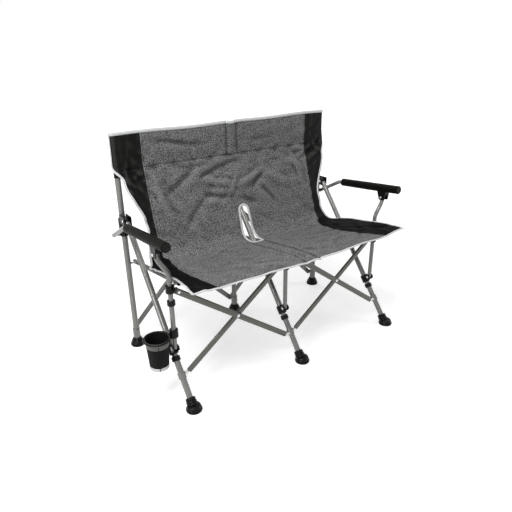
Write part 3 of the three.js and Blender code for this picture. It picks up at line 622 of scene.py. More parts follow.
KNOB = [[11.05, -20.0], [11.3, -19.4], [11.3, -1.0], [10.8, 2.4], [8.6, 5.2], [4.6, 6.8], [0.6, 7.2]]
FERRULE = [[3.4, -14.8], [5.4, -14.2], [5.6, -12.0], [4.4, -10.5], [4.2, -7.5],
           [5.6, -6.5], [6.2, -5.4], [6.2, 2.0], [4.8, 4.4], [1.0, 5.4]]
HUB_HALF, CLAMP_HALF, ARM_RIVET_DOWN, RIVET_HIGH = 14.9, 12.4, 4.6, 2.8
MOULDED = {"leg_hub": "hub", "leg_slider": "slider", "leg_stop_ring": "leg",
           "seat_clamp": "post", "seat_stop_ring": "post"}
OUTER = {"stop_collar": "side", "arm_bracket": "arm"}
for side in SIDES:
    here = at(side)
    spin(side + " leg top knob", KNOB, here + LEG_ENDS[0], -LEG_ALONG, side + "_leg", nylon, "plastic", sides=36)
    for part, body in MOULDED.items():
        rounded(f"{side}_{part}", f"{side}_{body}", nylon, "plastic")
    rounded(side + "_leg_bracket", side + "_leg", steel, "zinc", 0.4)
    for part, body in (OUTER if SIDES[side] else {}).items():
        rounded(f"{side}_{part}", f"{side}_{body}", nylon, "plastic")
    for way in (-1, 1):
        spots = [("hub", here + LEG_TOP + [way * HUB_HALF, 0, 0], 5.6),
                 ("slider", here + POST_FOOT + [way * CLAMP_HALF, 0, 0], 5.5)]
        if SIDES[side]:
            spots.append(("arm", arm_frame(side) + [way * CLAMP_HALF, POST_Y, POST_HEAD - ARM_RIVET_DOWN], 5.5))
        for part, spot, radius in spots:
            rivet(f"{side} {part} rivet {way}", spot, [way, 0, 0], f"{side}_{part}", radius, RIVET_HIGH)
        if SIDES[side] != way:
            end = here + BRACKET + [way * LOW_PIVOT_OUT, way * PITCH / 2, 0]
            spin(f"{side} leg ferrule {way}", FERRULE, end, [way, 0, 0], side + "_leg", zinc, "zinc", sides=24)

# %% [markdown]
# ## Feet
# Each foot is a ribbed neck over a wide pad. The rear necks stand upright and the front ones
# lean with the leg, over pads that stay level. The ribs are part of the turned profile, so
# they catch the light as moulded ridges do.

# %% Ribbed feet
def rib(height, start, stop, count):
    """Round ribs: the absolute sine of the height, between start and stop."""
    share = np.clip((height - start) / (stop - start), 0, 1)
    return np.abs(np.sin(share * np.pi * count)) ** 0.6


PAD_BASE = [[27.2, 0.0], [28.5, 0.6], [29.0, 2.0], [29.0, 6.2], [28.5, 7.6]]
PAD_SHOULDER = [[21.0, 22.0], [11.4, 22.0]]
CONE_LOW, CONE_HIGH, BORE = 8.0, 21.0, 11.3


def foot_pad(name, centre, body, node):
    """A level pad: a flat base, a rolled rim, then a cone with two round ribs up to the shoulder."""
    height = np.linspace(CONE_LOW, CONE_HIGH, 22)
    ribs = 1.6 * (1 - rib(height, CONE_LOW, CONE_HIGH, 2))
    cone = np.stack([28.2 - 4.6 * (height - CONE_LOW) / (CONE_HIGH - CONE_LOW) - ribs, height], axis=1)
    spin(name, np.vstack([PAD_BASE, cone, PAD_SHOULDER]), centre, UP, body, nylon, "plastic", node, sides=56)


def foot_neck(name, centre, axis, body, low, high, wide, narrow):
    """A ribbed neck round the tube: its radius falls from wide to narrow, with three round ribs and a rolled top."""
    height = np.linspace(low, high - 2.0, 46)
    radius = wide + (narrow - wide) * (height - low) / (high - low) - 2.0 * (1 - rib(height, low, high - 2.0, 3))
    roll = [[narrow - 0.3, high - 1.2], [narrow - 1.2, high - 0.3], [narrow - 2.4, high]]
    inside = [[12.0, high], [BORE, high - 0.8], [BORE, high - 8.0]]
    profile = np.vstack([np.stack([radius, height], axis=1), roll, inside])
    spin(name, profile, centre, axis, body, nylon, "plastic", sides=44)


def bar(name, low, high, body, material, slot, bevel=0.8):
    """A straight bar between two corners: eight points, then every edge rounded."""
    low, high = np.minimum(low, high), np.maximum(low, high)
    pick = np.array([[i, j, k] for k in (0, 1) for j in (0, 1) for i in (0, 1)])
    faces = [(0, 2, 3, 1), (4, 5, 7, 6), (0, 1, 5, 4), (2, 6, 7, 3), (0, 4, 6, 2), (1, 3, 7, 5)]
    settle(softened(mesh_object(name, low + pick * (high - low), faces), bevel, 3), body, material, slot)


SHANK = [[11.4, 34.0], [14.1, 34.0], [14.5, 34.6], [14.5, 76.9], [14.0, 77.5], [11.4, 77.5], [BORE, 70.0]]
LUG_IN, LUG_OUT, LUG_Y, LUG_HALF = 8.0, 20.0, 12.4, 8.0
for side in SIDES:
    here, base = at(side), base_of(side)
    spin(side + " rear shank", SHANK, here, UP, base, steel, "steel", joined=True)
    for way, layer in ((-1, 0), (1, 1)):
        if SIDES[side] != way:
            face = BEHIND + layer * PITCH - FACE - GAP
            bar(f"{side} rear foot lug {way}", here + [way * LUG_IN, LUG_Y, REAR_LOW - LUG_HALF],
                here + [way * LUG_OUT, face, REAR_LOW + LUG_HALF], base, steel, "steel")
            if layer == 0:
                spot = here + [way * PIVOT_OUT, face + CROSS_THICKNESS + 0.7, REAR_LOW]
                rivet(f"{side} rear foot rivet {way}", spot, BACK, base, 5.0, 1.4)
    for end, spot, axis, body, *neck in (
            ("rear", here, UP, base, 19.0, 36.0, 24.0, 16.0),
            ("front", here + LEG_FOOT, -LEG_ALONG, side + "_leg", 15.0, 44.0, 21.0, 18.0)):
        foot_pad(f"{side} {end} foot pad", spot, body, f"{side}_{end}_foot")
        foot_neck(f"{side} {end} foot neck", spot, axis, body, *neck)
print("feet:", 2 * len(SIDES))

# %% [markdown]
# ## Arms
# The arm tube rises from the collar and bends forward inside the foam. Its bend is a
# quadratic curve between two straight runs. The foam is a sleeve with rolled ends, and its
# front end is closed.

# %% Arm tubes and foam pads
def curve(a, b, c, count=24):
    """The quadratic curve (1-t)^2 a + 2t(1-t) b + t^2 c."""
    t = np.linspace(0, 1, count)[:, None]
    return (1 - t) ** 2 * np.array(a) + 2 * t * (1 - t) * np.array(b) + t ** 2 * np.array(c)


PAD_LONG = float(np.linalg.norm(PAD_FRONT - PAD_REAR))
PAD_ALONG = unit(PAD_FRONT - PAD_REAR)
corner = PAD_REAR - PAD_ALONG * 2.5 * ARM_TUBE
tail = ARM_PIVOT + [0, ARM_TUBE, -ARM_TUBE / 2]
rise = unit(corner - tail)
bend = curve(corner - rise * 2 * ARM_TUBE, corner, corner + PAD_ALONG * 2 * ARM_TUBE, 16)
arm_path = np.vstack([tail, bend, PAD_FRONT - PAD_ALONG * PAD_END])
ROLL, PAD_BORE = 3.2, 8.8


def foam_pad(side):
    """A sleeve whose radius swells by half a millimetre in the middle; both ends roll over a quarter circle."""
    turn = np.linspace(0, np.pi / 2, 8)
    rear = np.stack([PAD_RADIUS - ROLL + ROLL * np.sin(turn), ROLL - ROLL * np.cos(turn)], axis=1)
    along = np.linspace(ROLL, PAD_LONG - ROLL, 60)[1:-1]
    swell = 0.5 * np.sin(along / PAD_LONG * np.pi) + 0.12 * np.sin(along / 11.0)
    middle = np.stack([PAD_RADIUS - 0.45 + swell, along], axis=1)
    front = np.stack([PAD_RADIUS - ROLL + ROLL * np.cos(turn), PAD_LONG - ROLL + ROLL * np.sin(turn)], axis=1)
    disc = [[11.5, PAD_LONG], [11.0, PAD_LONG - 0.7], [10.2, PAD_LONG - 0.8], [2.0, PAD_LONG - 0.6]]
    profile = np.vstack([[PAD_BORE, 3.0], [PAD_BORE, 0.4], [PAD_BORE + 0.7, 0.0], rear, middle, front, disc])
    pad = spin(side + " arm foam", profile, arm_frame(side) + PAD_REAR, PAD_ALONG,
               side + "_arm", foam, "foam", side + "_arm_pad", sides=48)


END_PLUG = [[12.6, -1.4], [13.2, -0.6], [13.2, 0.5], [12.4, 1.1], [10.6, 1.1], [10.0, 0.2], [6.0, -0.1], [0.6, 0.0]]
REAR_CAP = [[7.6, -1.0], [8.9, -0.8], [9.0, 0.5], [8.2, 2.2], [6.2, 3.6], [2.6, 4.3], [0.6, 4.4]]
PAD_RING = [[8.6, -4.9], [10.8, -4.9], [11.2, -4.3], [11.2, -1.2], [10.6, -0.6], [8.6, -0.6]]
for side in ("left", "right"):
    outset, body = arm_frame(side), side + "_arm"
    arm = tube(side + " arm tube", outset + arm_path, ARM_TUBE, open_ends=False)
    settle(arm, body, steel, "steel", side + "_arm_tube")
    foam_pad(side)
    spin(side + " pad end plug", END_PLUG, outset + PAD_FRONT, PAD_ALONG, body, nylon, "plastic")
    spin(side + " arm rear cap", REAR_CAP, outset + tail + rise, -rise, body, nylon, "plastic")
    spin(side + " pad ring", PAD_RING, outset + PAD_REAR, PAD_ALONG, body, zinc, "zinc", joined=True)
print("arm pad length:", round(PAD_LONG), "mm")

# %% [markdown]
# ## Cup holder
# A wire ring on a clamp carries a cloth cup. The cup is a thin wall of revolution that
# tapers to its base, with a stiff grey band at the rim, a pale one at the foot and a sewn
# seam down its side. It is one closed profile, so the wall is real from both sides.

# %% Cup, bands and wire
WIRE_RING, WIRE, POST_X = 45.0, 3.0, at("left")[0]
CUP = np.array([POST_X - POST_TUBE - SEAT_CLAMP_WALL - WIRE_RING - WIRE, POST_Y, 253.0])
CUP_LOW, CUP_TALL, CUP_BASE, CUP_RIM, CUP_WALL = -113.0, 116.0, 33.2, 40.9, 1.6


def cup_shell(name, low, high, grow, material, wall=CUP_WALL, soft=0.0):
    """A wall between two heights: its radius goes from the base's to the rim's, plus grow.
    Where soft isn't zero, two slow waves run round it."""
    radius = lambda height: CUP_BASE + (CUP_RIM - CUP_BASE) * (height - CUP_LOW) / CUP_TALL + grow
    height = np.linspace(low, high, 40)
    out = np.stack([radius(height), height], axis=1)
    profile = np.vstack([out, [[radius(high) - wall / 2, high + wall / 2]], (out - [wall, 0])[::-1]])
    piece = turned(name, profile, CUP, UP, sides=72, joined=True)
    if soft:
        points = np.array([vertex.co[:] for vertex in piece.data.vertices]) * 1000.0
        offset = points[:, :2] - CUP[:2]
        angle, depth = np.arctan2(offset[:, 1], offset[:, 0]), (points[:, 2] - CUP[2] - high) / (high - low)
        waves = np.sin(3 * angle + 1.0) + 0.6 * np.sin(7 * angle + 4 * depth)
        swell = soft * np.sin(np.pi * np.clip(-depth, 0, 1)) * waves
        points[:, :2] += unit(offset) * swell[:, None]
        piece.data.vertices.foreach_set("co", (points / 1000.0).ravel())
        piece.data.update()
    return settle(piece, "left_post", material, "cup_fabric")


def cup_cloth():
    """Black cloth over the cup on object coordinates, with a coarse weave and a slow drift."""
    finish = Finish("black cup cloth")
    place = finish.place()
    weave = finish.noise(finish.stretched(place, (1.0, 1.0, 0.4)), 1200.0, 2.0)
    drift = finish.noise(place, 45.0, 4.0)
    tone = finish.between(weave * 0.4 + drift * 0.4, (0.004, 0.004, 0.004), (0.012, 0.012, 0.011))
    finish.look(tone, 0.6 + drift * 0.2, Specular_IOR_Level=0.1)
    finish.bump(weave + drift * 2.0, 0.0004, 0.6)
    return finish.material


CUP_FLOOR = np.array([[0.6, 0.6], [30.0, 0.6], [32.6, 1.2], [32.6, 2.4], [30.0, 3.0], [0.6, 3.0]]) + [0, CUP_LOW]
CUP_CLAMP = [[8.9, -15], [14.9, -15], [15.5, -14.2], [15.5, 14.2], [14.9, 15], [8.9, 15]]
cup_black = cup_cloth()
band_grey = powder_coat("grey rim band", (0.045, 0.045, 0.04), (0.1, 0.1, 0.092), 0.1, 0.42)
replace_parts(cup_shell("cup body", CUP_LOW + 1, -8.0, 0.0, cup_black, soft=0.5), "cup_holder_cup")
cup_shell("cup rim band", -24.0, 2.0, 0.7, band_grey, wall=1.2)
cup_shell("cup lining", -30.0, 2.4, -0.6, cup_black, wall=1.2)
cup_shell("cup base band", CUP_LOW + 0.5, CUP_LOW + 12, 0.6, tape, wall=2.4)
spin("cup base", CUP_FLOOR, CUP, UP, "left_post", cup_black, "cup_fabric", sides=72)
spin("cup wire ring", circle(WIRE, 16) + [WIRE_RING, 0], CUP, UP, "left_post", nylon, "plastic", "cup_holder_ring",
     sides=72, joined=True)
spin("cup clamp", CUP_CLAMP, CUP * [0, 1, 1] + [POST_X, 0, 0], UP, "left_post", nylon, "plastic", joined=True)
bar("cup clamp arm", CUP + [WIRE_RING - 0.5, -WIRE, -WIRE], np.array([POST_X - 12.0, POST_Y + WIRE, CUP[2] + WIRE]),
    "left_post", nylon, "plastic", 1.0)
sewn_from, sewn_to = (CUP_BASE + 0.8, CUP_LOW + 2), (CUP_RIM + 0.5, -9)
line = [CUP + unit(np.array([-0.35, -1.0, 0.0])) * out + UP * up for out, up in (sewn_from, sewn_to)]
settle(tube("cup side seam", line, 1.0, open_ends=False), "left_post", cup_black, "cup_fabric")
print("cup inside diameter at the rim:", round(2 * (CUP_RIM - CUP_WALL)), "mm")

# %% [markdown]
# ## The sling
# The back and the seat are one hanging sling in six panels: two grey middles, four black sides
# and a pale tape bound over every edge. Its middle line is a smooth profile: straight down the
# header, sloping forward to the seat, round a soft corner and out to the front. Each panel
# is a grid over that profile, moved along its normal by the folds of the cloth.

# %% The profile and the folds
def measured(points):
    """Arc length along a polyline."""
    return np.concatenate([[0], np.cumsum(np.linalg.norm(np.diff(points, axis=0), axis=1))])


HEADER_LOW, SLOT_TOP, SLOT_FRONT, SLOT_HALF = 748.0, 545.0, 204.0, 20.0
TOP, REACH, FRONT_REACH, WRAP = 881.5, 12.8, 552.0, 13.2
LEAN, LEAN_DROP, BACK_FOOT = 109.2, 340.0, 458.0
lower = np.array([-REACH - LEAN * (HEADER_LOW - BACK_FOOT) / LEAN_DROP, BACK_FOOT])
soft_corner = curve(lower, [-124.0, 408.0], [-176.0, 414.5], 41)
under_header = curve([-REACH, HEADER_LOW + 18], [-REACH, HEADER_LOW], [-19.0, HEADER_LOW - 19])
to_front = curve([-388, 450.5], [-452, 460.5], [-500, 461.0])
back_line = np.vstack([[-REACH, TOP], under_header, soft_corner[:21]])
seat_line = np.vstack([soft_corner[20:], [-300, 435.5], to_front, [-FRONT_REACH, 461.5]])
back_s, seat_s = measured(back_line), measured(seat_line)
BACK_LONG, SEAT_LONG = back_s[-1], seat_s[-1]
# arc lengths of the header's seam and of the two ends of the slot
HEADER, SLOT_START = [float(np.interp(-height, -back_line[:, 1], back_s)) for height in (HEADER_LOW, SLOT_TOP)]
SLOT_END = float(np.interp(SLOT_FRONT, -seat_line[:, 0], seat_s))
SEAM_X, TUCKS, HEM = 393.0, {26.0: 4.6, -34.0: 2.4}, 26.0
SEAM_S = np.interp([122, 146, 205, 260, 313, 360, 401, 438, 486, 533, 552], -seat_line[:, 0], seat_s)
SEAT_SEAMS = {-1: [-390, -375, -385, -396, -404, -409, -411, -405, -398, -390, -389],
              1: [392, 378, 356, 343, 338, 338, 343, 350, 363, 386, 391]}
left_seam, right_seam = [lambda s, way=way: np.interp(s, SEAM_S, SEAT_SEAMS[way]) for way in (-1, 1)]
print("back length", round(BACK_LONG), "mm, seat length", round(SEAT_LONG), "mm")


def folds_at(random, count, low, high, slope, width, height):
    """Random folds: a middle, a slope, a half length, a width and a height each, in millimetres."""
    middle = random.uniform(low, high, (count, 2))
    turn = random.normal(slope[0], slope[1], count)
    half = random.uniform(45, 140, count)
    wide = random.uniform(*width, count)
    rise = random.uniform(*height, count) * random.choice([-1, 1], count)
    return np.column_stack([middle, np.cos(turn), np.sin(turn), half, wide, rise])


def folded(x, s, folds):
    """Each fold is a ridge exp(-(d/w)^2) about its wandering line, faded to nothing towards both ends; they add up."""
    total = np.zeros(np.broadcast(x, s).shape)
    for mx, ms, cos, sin, half, wide, high in folds:
        along = (x - mx) * cos + (s - ms) * sin
        off = -(x - mx) * sin + (s - ms) * cos + 5.0 * np.sin(along / 38.0 + mx)
        total += high * np.exp(-(off / wide) ** 2) * np.clip(1 - (along / half) ** 2, 0, 1) ** 2
    return total


# the long drags of the photograph, from the pocket's foot down to the left and right, as
# (middle x, middle s, cosine, sine, half length, width, height)
BACK_DRAGS = [
    [-235, 56, 0.993, 0.12, 200, 13, -14.0], [150, 74, 1.0, 0.03, 130, 12, -10.0],
    [-120, 186, 0.98, -0.2, 75, 12, -6.0], [70, 236, -0.957, 0.29, 100, 16, 8.5],
    [-76, 232, 0.94, 0.34, 90, 15, 7.5], [-90, 286, 0.99, 0.15, 90, 14, -8.5],
    [108, 255, 0.81, -0.58, 65, 12, -6.5], [-95, 225, -0.79, 0.61, 175, 24, -4.0],
    [-165, 185, -0.85, 0.52, 150, 18, 3.5], [-130, 300, -0.93, 0.36, 130, 18, 4.0],
    [-255, 205, -0.8, 0.6, 110, 15, -6.0], [-30, 262, -0.6, 0.8, 110, 14, 5.5],
    [-215, 345, -0.7, 0.7, 110, 17, -5.5], [120, 215, 0.9, 0.43, 150, 22, -3.0],
    [210, 255, 0.93, 0.36, 140, 20, 6.5], [60, 330, 0.98, 0.2, 110, 16, -5.4],
    [290, 195, 0.85, 0.5, 110, 14, 5.0], [160, 320, 0.75, 0.66, 120, 16, -5.5],
    [-40, 170, -0.95, 0.3, 95, 12, -5.6], [335, 240, 0.3, 0.95, 120, 16, 6.0],
    [-340, 260, 0.25, 0.97, 130, 16, 5.4], [-435, 172, 0.99, -0.1, 60, 9, -6.0],
    [435, 172, 0.99, 0.12, 60, 9, -6.0], [-430, 60, 0.1, 0.99, 70, 11, 5.0]]
SEAT_DRAGS = [
    [-190, 300, 0.75, 0.66, 150, 20, 3.6], [200, 300, -0.75, 0.66, 150, 20, 3.6], [0, 300, 0.0, 1.0, 190, 7, 2.2]]
chance = np.random.default_rng(12)
back_folds = np.vstack([
    folds_at(chance, 30, (-380, 150), (380, 440), (0.6, 0.5), (14, 30), (1.0, 3.0)),
    folds_at(chance, 16, (-380, 135), (380, 190), (0.05, 0.22), (7, 14), (0.7, 1.9)),
    folds_at(chance, 18, (-480, 10), (-404, 400), (0.9, 0.5), (8, 16), (2.0, 5.0)),
    folds_at(chance, 18, (404, 10), (480, 400), (-0.9, 0.5), (8, 16), (2.0, 5.0)), BACK_DRAGS])
seat_folds = np.vstack([
    folds_at(chance, 34, (-380, 20), (330, 420), (0.2, 0.8), (10, 24), (0.8, 2.6)),
    folds_at(chance, 16, (-476, 30), (-410, 430), (1.3, 0.4), (7, 14), (1.4, 3.8)),
    folds_at(chance, 18, (350, 30), (476, 430), (1.3, 0.4), (8, 15), (1.4, 3.8)), SEAT_DRAGS])


def groove(distance, wide, deep):
    """A sewn line pulls the cloth in: -deep * exp(-(d/wide)^2)."""
    return -deep * np.exp(-(distance / wide) ** 2)


def puckers(along, pitch, distance, wide, high):
    """Ripples beside a sewn line: high * sin(along/pitch) * exp(-(d/wide)^2)."""
    return high * np.sin(along / pitch) * np.exp(-(distance / wide) ** 2)


def bay_wave(x):
    """sin^2 over each bay: nothing at a frame, 1 halfway between two."""
    return np.sin(np.pi * np.minimum(np.abs(x) / BAY, 1.0)) ** 2


def at_length(s, lengths, line):
    """The two columns of a line at arc length s."""
    return np.interp(s, lengths, line[:, 0]), np.interp(s, lengths, line[:, 1])


def back_half_width(z):
    """Round the uprights at the top, drawn in beside the arms, a little wider again at the seat."""
    drawn_in = 60.0 * smoothstep(710.0 - z, 0, 190)
    return 488.0 + 22.5 * smoothstep(z, 705, 762) - drawn_in + 18.5 * smoothstep(482.0 - z, 0, 74)


def back_edge(s, way):
    """The half width on one side: the left edge hangs further in above the arm, the right one a little further out."""
    z = np.interp(s, back_s, back_line[:, 1])
    left = -14.0 * smoothstep(775.0 - z, 0, 60) * smoothstep(z, 470, 600)
    right = 4.0 * smoothstep(z, 600, 700)
    return back_half_width(z) + np.where(np.asarray(way) < 0, left, right)


def back_relief(x, s, z):
    """How far the cloth stands out: folds, seams and their puckers, the pocket, a full header and a sag in each bay.
    It fades out at the foot and beside the uprights."""
    lean, below, beside = np.clip((HEADER_LOW - z) / LEAN_DROP, 0, 1), s - HEADER, np.abs(x) - SEAM_X
    out = folded(x, s, back_folds) * (0.3 + 0.7 * smoothstep(s, 100, 150))
    pocket = 4.2 * np.exp(-(x / 19.0) ** 4) * smoothstep(-below, -4, 16)
    out += groove(below, 4.0, 4.2) + groove(beside, 3.0, 1.8) + pocket
    out += groove(np.abs(x) - 24.0, 2.4, 2.4) * smoothstep(-below, -2, 6)
    out += puckers(x, 13.0, below, 16.0, 2.0) + puckers(s, 9.0, beside, 12.0, 1.0)
    out += 2.6 * np.sin(np.pi * np.clip(s / HEADER, 0, 1)) * (1 - np.exp(-(x / 40.0) ** 2))
    out -= 9.0 * bay_wave(x) * lean * (1 - lean) * 4
    out *= 1.0 - 0.85 * smoothstep(s, BACK_LONG - 30, BACK_LONG)
    return out * (1.0 - smoothstep(np.abs(x), 470, 492) * smoothstep(z, 690, 730))


def back_point(x, s):
    """The profile at arc length s, moved forward along its normal by the relief; the top edge waves and rises.
    Cloth wider than a bay turns round the upright: x = BAY + R sin(t), y grows by R (1 - cos t), t = over / R."""
    x, s = np.broadcast_arrays(np.asarray(x, float), np.asarray(s, float))
    y, z = at_length(s, back_s, back_line)
    slope, drop = at_length(s, back_s, np.gradient(back_line, back_s, axis=0))
    out, size = back_relief(x, s, z), np.hypot(slope, drop)
    top = (1.6 * np.cos(x / 61.0) + 5.0 * smoothstep(x, -150, 400)) * smoothstep(60 - s, 0, 60)
    top -= 3.4 * np.exp(-(x / 16.0) ** 2) * smoothstep(40 - s, 0, 40)
    turned_by = np.clip(np.abs(x) - BAY, 0, None) / WRAP
    ear = np.where(x > 0, 9.0, 2.0) * np.exp(-((z - 752.0) / 38.0) ** 2)
    across = np.sign(x) * (np.minimum(np.abs(x), BAY) + (WRAP + ear) * np.sin(turned_by))
    y = y + out * drop / size + WRAP * (1 - np.cos(turned_by))
    return np.stack([across, y, z - out * slope / size + top], axis=-1)


def seat_edge(s, way):
    """Drawn in at the back corner, 474 along the side, 482 at the left front corner and 492 at the right."""
    share = s / SEAT_LONG
    return 446.5 + 27.0 * smoothstep(share, 0, 0.16) + (13.5 + 5.0 * way) * smoothstep(share, 0.62, 0.97)


def seat_point(x, s):
    """The profile at arc length s, stretched to the front edge's bow, sagging in each bay and lifted at the sides."""
    x, s = np.broadcast_arrays(np.asarray(x, float), np.asarray(s, float))
    y, z = at_length(s, seat_s, seat_line)
    rear, reach, share = seat_line[0, 0], FRONT_REACH - 14.0 * (x / BAY) ** 2, s / SEAT_LONG
    y = rear + (y - rear) * (reach + rear) / (FRONT_REACH + rear)
    edge = 9.0 * smoothstep(np.abs(x) / BAY, 0.75, 1) * smoothstep(share, 0, 0.3)
    sag = bay_wave(x) * (11.0 * np.sin(np.pi * np.clip(share, 0, 1)) ** 0.7 - 4.0 * smoothstep(share, 0.85, 1.0))
    z = z + edge - sag + folded(x, s, seat_folds) * smoothstep(share, 0, 0.12)
    for seam in (left_seam(s), right_seam(s)):
        z = z + groove(x - seam, 3.0, 1.6) + puckers(s, 9.0, x - seam, 12.0, 0.8)
    for tuck, depth in TUCKS.items():
        z = z + groove(x - tuck, 5.0, depth) * smoothstep(share, 0.1, 0.3)
    hem = 1 - smoothstep(SEAT_LONG - s, 0, HEM)
    z = z + (1.2 * np.sin(x / 31.0) - 1.0) * hem + groove(SEAT_LONG - HEM - s, 3.0, 1.2)
    return np.stack([x, y, z], axis=-1)

# %% Panels as grids
def slot_half(far):
    """The hand slot's half width far from its closed end: sqrt(R^2 - (R - far)^2), then R past the half circle."""
    return np.sqrt(SLOT_HALF ** 2 - (SLOT_HALF - np.clip(far, 0, SLOT_HALF)) ** 2)


def hollows(points, step=4):
    """How far each point lies under the mean of its neighbours four steps away, less the profile's own bend,
    which is the middle value of its row. The normal is the cross product of the two steps, turned to the front."""
    rows, columns = np.arange(points.shape[0]), np.arange(points.shape[1])
    pick = lambda index, way: np.clip(index + way, 0, len(index) - 1)
    within = lambda index: (index >= step) & (index < len(index) - step)
    low, high = points[pick(rows, -step)], points[pick(rows, step)]
    left, right = points[:, pick(columns, -step)], points[:, pick(columns, step)]
    normal = unit(np.cross(high - low, right - left) + 1e-9)
    normal = normal * np.where(normal[..., 2:] - normal[..., 1:2] < 0, -1.0, 1.0)
    down = ((low + high) / 2 - points) * within(rows)[:, None, None]
    along = ((left + right) / 2 - points) * within(columns)[None, :, None]
    depth = ((down + along) * normal).sum(axis=-1)
    return np.clip((depth - np.median(depth, axis=1, keepdims=True)) / 3.0, -1.0, 1.0)


def panel(name, cloth, left, right, columns, material):
    """A grid between two edges, x = left(s) and x = right(s); its UV map is (x, s) in metres.
    Two attributes say how far each point is from the nearest seam and where along it, a third how deep it lies."""
    stations = cloth["stations"][:, None]
    lefts, rights = left(stations), right(stations)
    x = lefts + (rights - lefts) * np.linspace(0, 1, columns)[None, :]
    s = stations + 0 * x
    points = cloth["surface"](x, s)
    piece = mesh_object(name, points, grid_quads(len(stations), columns)[:, ::-1], 80, closed=False)
    mesh = piece.data
    flat = np.stack([x.ravel(), s.ravel()], axis=1) / 1000.0
    corners = np.empty(len(mesh.loops), np.int32)
    mesh.loops.foreach_get("vertex_index", corners)
    mesh.uv_layers.new(name="Cloth").data.foreach_set("uv", flat[corners].ravel().astype(np.float32))
    runs = np.stack([flat[:, 1 - axis] for axis, place in cloth["seams"]])
    far = np.stack([np.abs(flat[:, axis] - place(1000.0 * flat[:, 1 - axis]) / 1000.0)
                    for axis, place in cloth["seams"]])
    run = np.take_along_axis(runs, far.argmin(axis=0)[None], 0)[0]
    for attribute, values in (("seam", far.min(axis=0)), ("run", run), ("hollow", hollows(points).ravel())):
        mesh.attributes.new(attribute, "FLOAT", "POINT").data.foreach_set("value", values.astype(np.float32))
    wall = piece.modifiers.new("cloth", "SOLIDIFY")
    wall.thickness, wall.offset = CLOTH_THICK / 1000.0, 0.0
    corner = points[:-1, :-1]
    area = np.linalg.norm(np.cross(points[1:, :-1] - corner, points[:-1, 1:] - corner), axis=-1)
    piece["cut_area"] = float(area.sum()) / 1e6
    return settle(piece, cloth["body"], material, "fabric")


def join_halves(name, *halves):
    """Two halves become one sheet: their meshes are joined and the middle line merged."""
    first = halves[0]
    area = sum(half["cut_area"] for half in halves)
    with bpy.context.temp_override(active_object=first, selected_editable_objects=list(halves)):
        bpy.ops.object.join()
    work = bmesh.new()
    work.from_mesh(first.data)
    bmesh.ops.remove_doubles(work, verts=work.verts, dist=1e-5)
    work.to_mesh(first.data)
    work.free()
    first.name, first["cut_area"] = name.replace(" ", "-"), area
    return first


def stations(long, count, slot, way):
    """Even steps along a cloth, with closer ones round the half circle that closes the slot."""
    fine = slot + way * SLOT_HALF * (1 - np.cos(np.linspace(0, np.pi / 2, 12)))
    return np.unique(np.concatenate([np.linspace(0, long, count), fine]))


SLOT_MIDDLE, CLOTH_THICK, HEM_SEWN, HALF_COLUMNS, SIDE_COLUMNS = 8.0, 1.4, 20.0, 112, 44
fixed = lambda place: lambda along: place + 0 * along
back_spread = lambda s: 1.1 + 0.25 * smoothstep(s, SLOT_START, BACK_LONG)
seat_spread = lambda s: 1.35 - 0.25 * smoothstep(s, 0, 90)
cloths = {
    "back": {
        "surface": back_point, "body": "root", "side": oxford, "long": BACK_LONG, "edge": back_edge,
        "stations": stations(BACK_LONG, 118, SLOT_START, 1), "seam": (fixed(-SEAM_X), fixed(SEAM_X)),
        "gap": lambda s: back_spread(s) * slot_half(s - SLOT_START),
        "seams": [(0, fixed(-SEAM_X)), (0, fixed(SEAM_X)), (1, fixed(HEADER)), (1, fixed(0.0))]},
    "seat": {
        "surface": seat_point, "body": "centre_rail", "side": shaded_seat_oxford, "long": SEAT_LONG, "edge": seat_edge,
        "stations": stations(SEAT_LONG, 110, SLOT_END, -1), "seam": (left_seam, right_seam),
        "gap": lambda s: seat_spread(s) * slot_half(SLOT_END - s),
        "seams": [(0, left_seam), (0, right_seam), *((0, fixed(tuck)) for tuck in TUCKS),
                  (1, fixed(SEAT_LONG - HEM_SEWN))]}}
sheets = {}
for group, cloth in cloths.items():
    sheets[group] = [join_halves(group + " middle panel", *(
        panel(f"{group} middle {label}", cloth, *edges, HALF_COLUMNS, melange) for label, edges in (
            ("left", (cloth["seam"][0], lambda s: SLOT_MIDDLE - cloth["gap"](s))),
            ("right", (lambda s: SLOT_MIDDLE + cloth["gap"](s), cloth["seam"][1])))))]
    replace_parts(sheets[group][0], group + "_fabric")
for label, way in (("left", -1), ("right", 1)):
    for group, cloth in cloths.items():
        # from the outer edge to the seam on the left, the other way round on the right
        edges = [lambda s: way * cloth["edge"](s, way), cloth["seam"][way > 0]][::-way]
        sheets[group].append(panel(f"{group} {label} side panel", cloth, *edges, SIDE_COLUMNS, cloth["side"]))
print("cloth area:", round(sum(p["cut_area"] for group in sheets.values() for p in group), 3), "square metres")

# %% [markdown]
# ## Bindings
# A pale tape is folded over every raw edge and round the slot. It is a flat oval section
# carried along the edge of the same surface, so it always lies on the cloth. Behind the
# cloth a closed sleeve slips over the top of each upright and carries the back.

# %% Tape round the edges
def cloth_normal(surface, x, s, way):
    """The cross product of a step across the cloth and a step along it, turned to the front."""
    across = surface(x + way, s) - surface(x, s)
    down = surface(x, s + 1.0) - surface(x, np.maximum(s - 1.0, 0.0))
    return unit(np.cross(across, down)) * way


def binding(group, name, path, normal, width=9.0, thick=3.6):
    """A flat oval of tape along the path: its thickness follows the cloth's normal, its width lies in the cloth."""
    section = oval(width, thick, 16)[:, ::-1]
    tapes[group].append(settle(sweep(name, path, section, normal, 60), cloths[group]["body"], tape, "fabric"))


def slot_run(straight):
    """Distances along the slot's edge from the middle of its half circle: in, round (R sin t) and out again."""
    going_in = np.linspace(straight, -1, STRAIGHT_STEPS)
    return np.concatenate([going_in, SLOT_HALF * np.sin(half_turn), going_in[::-1]])


